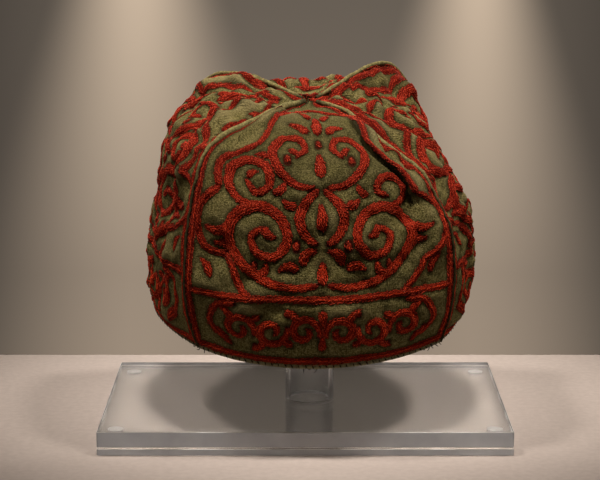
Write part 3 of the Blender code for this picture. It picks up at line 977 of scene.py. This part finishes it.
def thread_tree():
    """Places links of thread along every row, at a spacing, with a small chance in each."""
    tree = bpy.data.node_groups.new("thread along rows", "GeometryNodeTree")
    for name, kind in THREAD_INPUTS.items():
        tree.interface.new_socket(name, in_out="INPUT", socket_type="NodeSocket" + kind)
    tree.interface.new_socket("Links", in_out="OUTPUT", socket_type="NodeSocketGeometry")
    add = partial(add_node, tree)
    given = add("NodeGroupInput").outputs
    curves = add("GeometryNodeMeshToCurve", {"Mesh": given["Rows"]})
    spaced = add("GeometryNodeResampleCurve", {"Curve": curves, "Length": given["Spacing"]}, mode="LENGTH")
    up = add("GeometryNodeInputNamedAttribute", {"Name": "up"}, data_type="FLOAT_VECTOR")
    size = add("GeometryNodeInputNamedAttribute", {"Name": "size"}, data_type="FLOAT")
    tangent = add("GeometryNodeInputTangent")
    upright = add("FunctionNodeAlignRotationToVector", {"Vector": up}, axis="Z")
    ahead = {"Rotation": upright, "Vector": tangent}
    along = add("FunctionNodeAlignRotationToVector", ahead, axis="X", pivot_axis="Z")
    swing, growth, shade = (
        add(
            "FunctionNodeRandomValue", {"Min": low, "Max": high, "Seed": given["Seed"]}, data_type="FLOAT"
        ).outputs[1]
        for low, high in ((-0.5, 0.5), LINK_SIZES, (0.0, 1.0))
    )
    amount = add("ShaderNodeMath", {0: swing, 1: given["Turn"]}, operation="MULTIPLY")
    turn = add("ShaderNodeCombineXYZ", {"Z": amount})
    turning = add("FunctionNodeEulerToRotation", {"Euler": turn})
    turned_link = {"Rotation": along, "Rotate By": turning}
    rotation = add("FunctionNodeRotateRotation", turned_link, rotation_space="LOCAL")
    scale = add("ShaderNodeMath", {0: growth, 1: size}, operation="MULTIPLY")
    link = add("GeometryNodeObjectInfo", {"Object": given["Link"]}).outputs["Geometry"]
    placing = {"Points": spaced, "Instance": link, "Rotation": rotation, "Scale": scale}
    placed = add("GeometryNodeInstanceOnPoints", placing)
    any_way = add(
        "FunctionNodeRandomValue",
        {"Min": (-1.0, -1.0, -0.3), "Max": (1.0, 1.0, 0.3), "Seed": given["Seed"]},
        data_type="FLOAT_VECTOR",
    )
    straying = add("ShaderNodeVectorMath", {"Vector": any_way, "Scale": given["Stray"]}, operation="SCALE")
    moving = {"Instances": placed, "Translation": straying, "Local Space": True}
    strayed = add("GeometryNodeTranslateInstances", moving)
    shaded = add(
        "GeometryNodeStoreNamedAttribute", {"Geometry": strayed, "Name": "shade", "Value": shade},
        data_type="FLOAT", domain="INSTANCE",
    )
    real = add("GeometryNodeRealizeInstances", {"Geometry": shaded})
    worn = add("GeometryNodeSetMaterial", {"Geometry": real, "Material": given["Thread"]})
    add("NodeGroupOutput", {0: worn})
    return tree


def run_tree(name, mesh, tree, values):
    """Runs a tree on a mesh and gives the result as a plain mesh."""
    carrier = bpy.data.objects.new(name + "_rows", mesh)
    bpy.context.scene.collection.objects.link(carrier)
    modifier = carrier.modifiers.new("links", "NODES")
    modifier.node_group = tree
    for item in tree.interface.items_tree:
        if item.name in values:
            modifier[item.identifier] = values[item.name]
    seen = bpy.context.evaluated_depsgraph_get()
    result = bpy.data.meshes.new_from_object(carrier.evaluated_get(seen), depsgraph=seen)
    result.name = name
    bpy.data.objects.remove(carrier, do_unlink=True)
    return result


def make_embroidery(tree, stitch, thread):
    for gore, name in enumerate(("front", "right", "back", "left")):
        make_beds(gore, name + "_laid_thread", thread)
        values = {"Link": stitch, "Spacing": STITCH_SPACING * MM, "Turn": 0.5, "Stray": STITCH_STRAY * MM}
        values.update({"Seed": 11 + gore, "Thread": thread})
        mesh = run_tree(name + "_embroidery", rows_mesh(gore), tree, values)
        piece = add_piece(name + "_embroidery", mesh, None, smooth_angle=180.0)


# Materials

# A colour laid over what is under it, from none at low to its share at high of a source
Layer = namedtuple("Layer", "source low high share colour")
# The mix node's sockets for colours
MIX_UNDER, MIX_OVER, MIX_RESULT = 6, 7, 2


def paint(colour):
    """A hex value for a colour socket, or another socket as it is."""
    return (*linear(colour), 1.0) if isinstance(colour, str) else colour


def layered(add, base, layers):
    """Layers of colour over a base, in their order."""
    colour = paint(base)
    for source, low, high, share, over in layers:
        reach = {"Value": source, "From Min": low, "From Max": high, "To Min": 0.0, "To Max": share}
        thickness = add("ShaderNodeMapRange", reach, clamp=True)
        mixing = {"Factor": thickness, MIX_UNDER: colour, MIX_OVER: paint(over)}
        colour = add("ShaderNodeMix", mixing, data_type="RGBA").outputs[MIX_RESULT]
    return colour


def new_material(name):
    """A material, what adds a node to it, its shader, and Object coordinates."""
    material = bpy.data.materials.new(name)
    material.use_nodes = True
    add = partial(add_node, material.node_tree)
    place = add("ShaderNodeTexCoord").outputs["Object"]
    return material, add, material.node_tree.nodes["Principled BSDF"], place


def olive_wool():
    """Woven wool, hand dyed with plants: matt, ribbed by its weft and uneven; pale on raised folds, partly
    from rubbing and partly as a painted highlight, with painted shade along the seams, at the feet of the
    strokes and over the front gore's crown.
    """
    material, add, shader, place = new_material("olive wool, woven and aged")
    flat = add("ShaderNodeUVMap", uv_map="flat gore")
    patches, rubbing, specks = (
        add("ShaderNodeTexNoise", {"Vector": place, "Scale": scale, "Detail": detail, "Roughness": rough})
        for scale, detail, rough in ((46.0, 4.0, 0.62), (210.0, 3.0, 0.6), (1150.0, 3.0, 0.75))
    )
    lift, soil, stitched, seam = (
        add("ShaderNodeAttribute", attribute_name=name).outputs["Fac"]
        for name in ("lift", "soil", "stitched", "seam")
    )
    colour = layered(add, "#4A4724", [
        Layer(patches, 0.34, 0.66, 1.0, "#736B3A"),
        Layer(rubbing, 0.46, 0.70, 0.6, "#938757"),
        Layer(specks, 0.45, 0.62, 0.5, "#AEA26C"),
        Layer(specks, 0.53, 0.36, 0.62, "#221F0C"),
        # pale on raised folds: partly rubbed wear, partly a painted highlight
        Layer(lift, 0.6, 3.5, 0.5, "#A3956A"),
        # painted shade over the front gore's crown
        Layer(soil, 0.0, 1.0, 0.45, "#3A3820"),
        # darker at the strokes' feet: painted shade, with some soil
        Layer(stitched, 2.0, 0.2, 0.75, "#1C1A0B"),
        # dark red under the strokes: painted shade where the cloth shows between rows
        Layer(stitched, 0.1, -0.4, 1.0, "#3A0905"),
        # painted shade in the gap along each seam
        Layer(seam, 2.6, 1.5, 0.85, "#120F06"),
    ])
    # weft ribs 1.1 mm apart; the real threads are half of that and too fine to show
    ribs, picks = (
        add(
            "ShaderNodeTexWave",
            {"Vector": flat, "Scale": scale, "Distortion": bend, "Detail": detail, "Detail Scale": 2.0},
            wave_type="BANDS", bands_direction=way, wave_profile="SIN",
        ).outputs["Fac"]
        for way, scale, bend, detail in (("X", 290.0, 3.0, 2.0), ("Y", 330.0, 4.0, 3.0))
    )
    weave = add("ShaderNodeMath", {0: picks, 1: 0.35, 2: ribs}, operation="MULTIPLY_ADD")
    height = add("ShaderNodeMath", {0: specks, 1: 6.0, 2: weave}, operation="MULTIPLY_ADD")
    relief = add("ShaderNodeBump", {"Height": height, "Strength": 0.8, "Distance": 0.0005})
    connect(shader, {
        "Base Color": colour, "Normal": relief, "Roughness": 1.0, "Specular IOR Level": 0.05,
        "Sheen Weight": 0.10, "Sheen Roughness": 0.6, "Sheen Tint": paint("#C9B97A"),
    })
    return material


def red_thread():
    """Madder-dyed wool thread, loosely twisted: a deep red, with a painted highlight where the strands
    stand up and painted shade low between them.
    """
    material, add, shader, place = new_material("red wool thread, chain stitched")
    patches, fibres = (
        add("ShaderNodeTexNoise", {"Vector": place, "Scale": scale, "Detail": detail, "Roughness": 0.6})
        for scale, detail in ((60.0, 3.0), (1500.0, 2.0))
    )
    shade, fresh, top, rise = (
        add("ShaderNodeAttribute", attribute_name=name).outputs["Fac"]
        for name in ("shade", "fresh", "top", "rise")
    )
    painted_strand_highlight = add("ShaderNodeMath", {0: top, 1: fibres}, operation="MULTIPLY")
    # painted shade low between the strands and along a stroke's edges, and a painted highlight on their
    # tops
    colour = layered(add, "#AC2610", [
        Layer(patches, 0.32, 0.68, 1.0, "#CC391D"),
        # painted light: the thread is brighter towards the hem
        Layer(fresh, 0.0, 1.0, 1.0, "#FF4A1C"),
        Layer(shade, 0.0, 1.0, 0.85, "#6A0F06"),
        Layer(fibres, 0.5, 0.7, 0.6, "#DE4A2A"),
        Layer(fibres, 0.50, 0.38, 0.5, "#4A0A04"),
        # painted shade low on each strand and along a stroke's edges
        Layer(top, 0.9, 0.1, 0.82, "#3A0703"),
        Layer(rise, 0.45, -0.05, 0.85, "#2E0502"),
        # painted highlight on the strands' tops
        Layer(painted_strand_highlight, 0.38, 0.58, 0.72, "#F2694A"),
    ])
    relief = add("ShaderNodeBump", {"Height": fibres, "Strength": 0.5, "Distance": 0.0004})
    connect(shader, {"Base Color": colour, "Normal": relief, "Roughness": 0.9, "Specular IOR Level": 0.08})
    return material


def plain_cloth(name, dark, pale, scale=700.0, darkened=None):
    """Matt woven cloth of two near tones, without a pattern of its own, darker where it is given painted
    shade.
    """
    material, add, shader, place = new_material(name)
    specks = add("ShaderNodeTexNoise", {"Vector": place, "Scale": scale, "Detail": 3.0, "Roughness": 0.7})
    colour = layered(add, dark, [Layer(specks, 0.36, 0.66, 1.0, pale)])
    if darkened:
        # painted shade, where the piece carries it
        soil = add("ShaderNodeAttribute", attribute_name="soil").outputs["Fac"]
        colour = layered(add, colour, [Layer(soil, 0.0, 1.0, 0.8, darkened)])
    relief = add("ShaderNodeBump", {"Height": specks, "Strength": 0.7, "Distance": 0.0006})
    connect(shader, {"Base Color": colour, "Normal": relief, "Roughness": 0.95, "Specular IOR Level": 0.15})
    return material


def sawn_edge():
    """The same sheet where it was sawn and scraped: satin, bluish grey, letting some light through."""
    material, add, shader, place = new_material("clear acrylic, sawn and scraped edge")
    scrapes = add("ShaderNodeTexNoise", {"Vector": place, "Scale": 60.0, "Detail": 3.0})
    colour = layered(add, "#AEB2B8", [Layer(scrapes, 0.3, 0.7, 1.0, "#C2C5CA")])
    connect(shader, {"Base Color": colour, "Roughness": 0.22, "IOR": 1.49, "Transmission Weight": 0.22})
    return material


def arris_with_painted_highlight():
    """The sheet's narrow bevels, scraped by hand, with white noise on them as a painted highlight along the
    edges.
    """
    material, add, shader, place = new_material("clear acrylic, scraped arris")
    painted_glints = add("ShaderNodeTexNoise", {"Vector": place, "Scale": 45.0, "Detail": 4.0})
    colour = layered(add, "#A8A6A4", [Layer(painted_glints, 0.42, 0.58, 1.0, "#FFFFFF")])
    connect(shader, {"Base Color": colour, "Roughness": 0.3, "Transmission Weight": 0.15})
    return material


def cloudy_pad_painted_highlight():
    """Soft clear vinyl pads that hold the plates apart: cloudy, and coloured nearly white, partly as a
    painted highlight for the light they catch.
    """
    material, add, shader, place = new_material("clear vinyl pads, moulded, cloudy")
    cloud_and_glint = add("ShaderNodeTexNoise", {"Vector": place, "Scale": 400.0, "Detail": 2.0})
    colour = layered(add, "#E6E6E4", [Layer(cloud_and_glint, 0.3, 0.7, 1.0, "#FFFFFF")])
    connect(shader, {"Base Color": colour, "Roughness": 0.35, "Transmission Weight": 0.4})
    return material


def clear_acrylic():
    """Cast acrylic, cut and flame polished: clear, faintly grey and dusty."""
    material, add, shader, place = new_material("clear acrylic, cast and polished")
    haze = add("ShaderNodeTexNoise", {"Vector": place, "Scale": 30.0, "Detail": 3.0})
    dusty = {"Value": haze, "From Min": 0.3, "From Max": 0.7, "To Min": 0.01, "To Max": 0.05}
    dust = add("ShaderNodeMapRange", dusty)
    clear = {"Base Color": paint("#F8F9FA"), "Roughness": dust, "IOR": 1.49, "Transmission Weight": 0.95}
    connect(shader, clear)
    # lamps shine through it, as they do through real sheet, so its shadow stays light
    ray = add("ShaderNodeLightPath").outputs["Is Shadow Ray"]
    open_way = add("ShaderNodeBsdfTransparent", {"Color": paint("#F0EFED")})
    both = add("ShaderNodeMixShader", {0: ray, 1: shader, 2: open_way})
    connect(material.node_tree.nodes["Material Output"], {"Surface": both})
    return material


def table_paint():
    """Matt paint on board, pale and a touch uneven."""
    material, add, shader, place = new_material("pale table, matt paint")
    grain = add("ShaderNodeTexNoise", {"Vector": place, "Scale": 260.0, "Detail": 3.0})
    colour = layered(add, "#C3B7AF", [Layer(grain, 0.35, 0.65, 1.0, "#CBBFB7")])
    connect(shader, {"Base Color": colour, "Roughness": 0.85})
    return material


# Trim


def make_welts(material):
    """The raised green edge along each seam, over the gap between two gores."""
    level = np.linspace(0, APEX_LEVEL - 0.12, WELT_ROWS)
    turn = circle(WELT_SIDES)
    for gore, name in enumerate(("front_right", "back_right", "back_left", "front_left")):
        chance = np.random.default_rng(70 + gore)
        line_points = smooth_surface(gore, np.ones_like(level), level)
        out = unit(-inner_direction(gore, np.ones_like(level), level))
        aside = np.broadcast_to(seam_plane(gore, 1), out.shape)
        along = np.linspace(0, 1, WELT_ROWS)
        sway = sum(0.16 * np.sin(2 * math.pi * (k * along + chance.uniform())) for k in (3, 7, 13, 21))
        thick = np.interp(level, [0, 4.5, 7, TOP], [0.45, 0.5, 1.0, 1.0]) * WELT_RADIUS
        if name == "front_left":
            thick = thick * (1 + 0.5 * ease((level - 6.0) / 1.5))
        thick = thick * (1 + 0.07 * np.sin(2 * math.pi * (17 * along + chance.uniform())))
        centre = line_points + out * (0.55 * WELT_RADIUS) + aside * sway[:, None]
        rings = (
            centre[:, None, :]
            + out[:, None, :] * (thick[:, None] * np.cos(turn))[..., None]
            + aside[:, None, :] * (thick[:, None] * np.sin(turn) * 0.85)[..., None]
        )
        mesh = mesh_from(name + "_seam", to_world(rings).reshape(-1, 3), tube_faces(WELT_ROWS, WELT_SIDES))
        # painted shade: the welt darkens low on the wall and by the apex
        low, high = (ease((level - start) / reach) for start, reach in WELT_PAINTED_SHADE)
        soil = np.maximum(1 - low, high)
        set_attribute(mesh, "soil", np.repeat(soil, WELT_SIDES))
        piece = add_piece(name + "_seam", mesh, material)
        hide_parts(name + "_welt")


def hem_edge(steps):
    """The cloth's outer and inner lower edge, once round the head."""
    azimuth = np.arange(steps) * 360 / steps - 45
    gores = ((azimuth + 45) // 90).astype(int)
    outer, inner = [], []
    for gore in range(4):
        across = (azimuth[gores == gore] - 90 * gore) / 45
        level = np.zeros_like(across)
        point = smooth_surface(gore, across, level)
        outer.append(point)
        inner.append(point + inner_direction(gore, across, level) * CLOTH)
    return np.concatenate(outer), np.concatenate(inner)


def make_binding(material):
    """A strip of the green cloth folded over the hem."""
    outer, inner = hem_edge(BINDING_STEPS)
    aside = outer - inner
    aside[:, 2] = 0
    aside = unit(aside)
    middle = (outer + inner) / 2
    half = np.linalg.norm((outer - inner)[:, :2], axis=-1) / 2 + 0.45
    turn = circle(BINDING_SIDES)
    wobble = 0.12 * np.sin(np.arange(BINDING_STEPS) * 2 * math.pi * 61 / BINDING_STEPS)
    rings = np.empty((BINDING_STEPS, BINDING_SIDES, 3))
    for side, angle in enumerate(turn):
        reach = half * np.sign(math.cos(angle)) * abs(math.cos(angle)) ** 0.6
        rings[:, side] = middle + aside * (reach + wobble)[:, None]
        rings[:, side, 2] += 0.5 * BINDING_HEIGHT * (1 + math.sin(angle)) - BINDING_DROP
    faces = tube_faces(BINDING_STEPS, BINDING_SIDES, closed=True)
    mesh = mesh_from("hem_fold", to_world(rings).reshape(-1, 3), faces)
    piece = add_piece("hem_fold", mesh, material)
    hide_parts("hem_binding")
    return outer + aside * 0.5


def make_whip_stitches(edge, tree, thread):
    """Dark oversewing that holds the folded hem, each stitch slanted over its edge."""
    body = bmesh.new()
    spindle(body, WHIP_LENGTH, WHIP_WIDTH, WHIP_HEIGHT, -WHIP_SLANT)
    bmesh.ops.recalc_face_normals(body, faces=body.faces)
    link = bpy.data.objects.new("whip stitch", finished("whip stitch", body))
    places = edge + np.array([0, 0, 0.5 * BINDING_HEIGHT - BINDING_DROP])
    edges = [(at, (at + 1) % len(places)) for at in range(len(places))]
    away = turned(unit(places * np.array([1, 1, 0])))
    mesh = rows_from("whip rows", to_world(places), edges, away)
    set_attribute(mesh, "size", np.ones(len(places)))
    values = {"Link": link, "Spacing": WHIP_SPACING * MM, "Turn": 0.6, "Stray": 0.2 * MM}
    values.update({"Seed": 5, "Thread": thread})
    result = run_tree("hem_oversewing", mesh, tree, values)
    piece = add_piece("hem_oversewing", result, None, smooth_angle=180.0)


def make_loose_ends(edge, thread):
    """Short ends of the oversewing that hang curling from the hem."""
    chance = np.random.default_rng(31)
    turn = circle(LOOSE_SIDES)
    share = np.linspace(0, 1, LOOSE_RINGS)
    upward = np.array([0.0, 0.0, 1.0])
    points, faces = [], []
    for place, length in LOOSE_ENDS:
        along = unit(edge[(place + 1) % len(edge)] - edge[place - 1])
        away = unit(edge[place] * np.array([1, 1, 0]))
        angle = (chance.uniform(-0.9, 0.9) + chance.uniform(-3.0, 3.0) * share)[:, None]
        steps = np.sin(angle) * along - np.cos(angle) * upward + 0.35 * away
        root = edge[place] + LOOSE_ROOT[0] * away + (LOOSE_ROOT[1] - BINDING_DROP) * upward
        path = root + np.cumsum(steps, axis=0) * length / LOOSE_RINGS
        across = np.cos(angle) * along + np.sin(angle) * upward
        radius = (LOOSE_RADIUS * (1 - 0.5 * share))[:, None, None]
        round_it = np.cos(turn)[:, None] * across[:, None] + np.sin(turn)[:, None] * away
        rings = path[:, None] + radius * round_it
        start = len(points) * LOOSE_RINGS * LOOSE_SIDES
        faces += [tuple(start + at for at in face) for face in tube_faces(LOOSE_RINGS, LOOSE_SIDES)]
        points.append(to_world(rings).reshape(-1, 3))
    mesh = mesh_from("hem_loose_ends", np.concatenate(points), faces)
    piece = add_piece("hem_loose_ends", mesh, thread)


# Stand


def turned_rod(name, node, sides, material, edge, wall=0.0, ends=None):
    """A round rod, or a tube, in the place of a CAD cylinder, with a small bevel at its ends."""
    low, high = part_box(node)
    centre = [(low[axis] + high[axis]) / 2 / MM for axis in (0, 1)]
    bottom, top = low[2] / MM, high[2] / MM
    radius = (high[0] - low[0]) / 2 / MM
    turn = circle(sides)
    profile = [(radius - edge, bottom), (radius, bottom + edge), (radius, top - edge), (radius - edge, top)]
    if wall:
        profile += [(radius - wall, top), (radius - wall, bottom)]
    rings = [
        np.column_stack([centre[0] + r * np.cos(turn), centre[1] + r * np.sin(turn), 0 * turn + z])
        for r, z in profile
    ]
    faces = tube_faces(len(profile), sides, closed=wall > 0)
    mesh = mesh_from(name, np.concatenate(rings), faces)
    piece = add_piece(name, mesh, material, smooth_angle=30.0)
    if ends:
        mesh.materials.append(ends)
        for face in mesh.polygons:
            face.material_index = int(abs(face.normal.z) > 0.5)
    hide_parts(node)


def make_plate(name, node, materials, lift, rise):
    """A clear plate in the place of a CAD one, its bottom and top raised, to sit on what carries it."""
    low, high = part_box(node)
    centre = [(a + b) / 2 for a, b in zip(low, high)]
    size = [b - a for a, b in zip(low, high)]
    centre[2] += (lift + rise) * MM / 2
    size[2] += (rise - lift) * MM
    body = bmesh.new()
    bmesh.ops.create_cube(body, size=1.0)
    bmesh.ops.scale(body, vec=size, verts=body.verts)
    upright = [e for e in body.edges if abs(e.verts[0].co.z - e.verts[1].co.z) > size[2] / 2]
    bmesh.ops.bevel(body, geom=upright, offset=PLATE_CORNER * MM, segments=5, profile=0.5, affect="EDGES")
    rims = [e for e in body.edges if abs(e.verts[0].co.z - e.verts[1].co.z) < 1e-6]
    rims = [e for e in rims if len({round(f.normal.z, 2) for f in e.link_faces}) == 2]
    bmesh.ops.bevel(body, geom=rims, offset=PLATE_EDGE * MM, segments=2, profile=0.5, affect="EDGES")
    bmesh.ops.translate(body, vec=centre, verts=body.verts)
    mesh = finished(name, body)
    piece = add_piece(name, mesh, None, smooth_angle=5.0)
    for material in materials:
        mesh.materials.append(material)
    for face in mesh.polygons:
        slope = abs(face.normal.z)
        face.material_index = 0 if slope > 0.95 else 1 if slope < 0.1 else 2
    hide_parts(node)


def make_stand():
    material, edge, arris_highlight_paint, pad = clear_acrylic(), sawn_edge(), arris_with_painted_highlight(), cloudy_pad_painted_highlight()
    make_plate("upper_sheet", "base_plate", (material, edge, arris_highlight_paint), -PLATE_LIFT, 0.0)
    make_plate("lower_sheet", "lower_plate", (material, edge, arris_highlight_paint), PLATE_LIFT, PLATE_LIFT)
    # the tube's end faces take the arris material, a painted highlight
    turned_rod("upright_tube", "post", POST_SIDES, material, POST_BEVEL, POST_WALL, arris_highlight_paint)
    for corner in ("front_left", "front_right", "back_left", "back_right"):
        turned_rod(corner + "_spacer", corner + "_pad", PAD_SIDES, pad, PAD_BEVEL)
    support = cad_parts["crown_support"]
    support.data.materials.clear()
    support.data.materials.append(material)


# Stage, light and camera


def make_table():
    """A plain pale table top that ends behind the stand."""
    half, front, thick = 1.4, -1.6, 0.03
    points = [(x, y, z) for z in (-thick, 0.0) for y in (front, TABLE_BACK) for x in (-half, half)]
    faces = [(0, 2, 3, 1), (4, 5, 7, 6), (0, 1, 5, 4), (1, 3, 7, 5), (3, 2, 6, 7), (2, 0, 4, 6)]
    mesh = bpy.data.meshes.new("table")
    mesh.from_pydata(points, [], faces)
    mesh.materials.append(table_paint())
    table = bpy.data.objects.new("table", mesh)
    bpy.context.scene.collection.objects.link(table)


Lamp = namedtuple("Lamp", "name place width power colour")
LAMPS = [
    Lamp("left spot", (-0.66, -0.36, 1.50), 21.0, 42.0, "#FFF4EA"),
    Lamp("middle spot", (0.0, -0.42, 1.56), 20.0, 82.0, "#FFF4EA"),
    Lamp("right spot", (0.66, -0.36, 1.50), 21.0, 42.0, "#FFF4EA"),
    Lamp("left spot behind", (-0.62, 1.05, 0.62), 10.5, 40.0, "#FFF4EA"),
    Lamp("right spot behind", (0.62, 1.05, 0.62), 10.5, 40.0, "#FFF4EA"),
]
LAMP_RADIUS = 0.09
AIM = Vector((0.012, 0.05, 0.10))
AIM_BEHIND = Vector((0.0, 0.0, 0.157))

# Backdrop, by directions from the camera: two widening pools of light, painted down the room's wall
Pool = namedtuple("Pool", "name middle width spread")
POOLS = [Pool("left pool", -0.080, 0.035, 0.28), Pool("right pool", 0.088, 0.029, 0.26)]
WALL_TOP = -0.06
FILL = "#443E37"


def wall_pool(add, across, depth, pool):
    """Brightness of one pool of light, from 0 to 1, fading to its sides and downwards."""
    aside = add("ShaderNodeMath", {0: across, 1: pool.middle}, operation="SUBTRACT")
    width = add("ShaderNodeMath", {0: depth, 1: pool.spread, 2: pool.width}, operation="MULTIPLY_ADD")
    share = add("ShaderNodeMath", {0: aside, 1: width}, operation="DIVIDE")
    size = add("ShaderNodeMath", {0: share}, operation="ABSOLUTE")
    edge = add(
        "ShaderNodeMapRange", {"Value": size, "From Min": 1.25, "From Max": 0.0},
        interpolation_type="SMOOTHSTEP",
    )
    falling = {"Value": depth, "From Min": 0.0, "From Max": 0.14, "To Min": 1.0, "To Max": 0.34}
    fall = add("ShaderNodeMapRange", falling)
    return add("ShaderNodeMath", {0: edge, 1: fall}, operation="MULTIPLY")


def make_room():
    """A grey wall, darker to its sides, with two soft pools of light painted on it, and a faint even fill
    for what it lights.
    """
    world = bpy.data.worlds.new("plain grey room")
    world.use_nodes = True
    add = partial(add_node, world.node_tree)
    direction = add("ShaderNodeTexCoord").outputs["Generated"]
    x, y, z = add("ShaderNodeSeparateXYZ", {0: direction}).outputs
    depth = add("ShaderNodeMath", {0: WALL_TOP, 1: z}, operation="SUBTRACT", use_clamp=True)
    side = add("ShaderNodeMath", {0: x}, operation="ABSOLUTE")
    ahead = add("ShaderNodeMapRange", {"Value": y, "From Min": 0.8, "From Max": 0.95})
    under_lamps = add("ShaderNodeMapRange", {"Value": z, "From Min": 0.02, "From Max": -0.05})
    colour = layered(add, "#675E54", [
        Layer(depth, 0.0, 0.17, 1.0, "#7A6D60"),
        # painted shade towards the sides
        Layer(side, 0.085, 0.155, 1.0, "#4C453E"),
    ])
    # the pools are painted light
    for pool in POOLS:
        share = wall_pool(add, x, depth, pool)
        for limit in (ahead, under_lamps):
            share = add("ShaderNodeMath", {0: share, 1: limit}, operation="MULTIPLY")
        colour = layered(add, colour, [Layer(share, 0.0, 1.0, 1.0, "#C9B49D")])
    # the wall is only for the camera and for reflections; what it lights sees the fill
    rays = add("ShaderNodeLightPath").outputs
    seen = rays["Is Camera Ray"]
    for kind in ("Is Glossy Ray", "Is Transmission Ray"):
        seen = add("ShaderNodeMath", {0: seen, 1: rays[kind]}, operation="MAXIMUM")
    colour = layered(add, FILL, [Layer(seen, 0.0, 1.0, 1.0, colour)])
    connect(world.node_tree.nodes["Background"], {"Color": colour, "Strength": 1.0})
    bpy.context.scene.world = world


def make_lights():
    for lamp in LAMPS:
        light = bpy.data.lights.new(lamp.name, "SPOT")
        light.spot_size = math.radians(lamp.width)
        light.spot_blend = 1.0
        light.shadow_soft_size = LAMP_RADIUS
        light.energy = lamp.power
        light.color = linear(lamp.colour)
        holder = bpy.data.objects.new(lamp.name, light)
        holder.location = lamp.place
        aim = AIM_BEHIND if "behind" in lamp.name else AIM
        holder.rotation_euler = (aim - Vector(lamp.place)).to_track_quat("-Z", "Y").to_euler()
        bpy.context.scene.collection.objects.link(holder)


def make_camera():
    camera = bpy.data.cameras.new("camera")
    camera.lens = CAMERA_LENS
    camera.sensor_width = 36.0
    camera.clip_end = 50.0
    holder = bpy.data.objects.new("camera", camera)
    holder.location = CAMERA_PLACE
    holder.rotation_euler = (math.radians(90 - CAMERA_PITCH), 0.0, 0.0)
    bpy.context.scene.collection.objects.link(holder)
    bpy.context.scene.camera = holder
    bpy.context.scene.view_settings.view_transform = "Standard"


def main():
    cloth = olive_wool()
    lining = plain_cloth("undyed cotton lining, plain woven", "#4A4434", "#6B634E")
    # the edging's darkest tone is laid on as painted shade
    edging = plain_cloth("olive wool edging, rubbed", "#55502F", "#918757", darkened="#1E1B0D")
    hem_cloth = plain_cloth("olive wool binding, soiled", "#57523A", "#8C8460")
    thread = red_thread()
    dark_thread = plain_cloth("dark linen thread", "#0B0A08", "#1C1914", 1200.0)
    for gore in range(4):
        make_cloth(gore, cloth, lining)
    tree = thread_tree()
    make_embroidery(tree, make_stitch(), thread)
    make_welts(edging)
    edge = make_binding(hem_cloth)
    make_whip_stitches(edge, tree, dark_thread)
    make_loose_ends(edge, dark_thread)
    make_stand()
    make_table()
    make_room()
    make_lights()
    make_camera()


main()
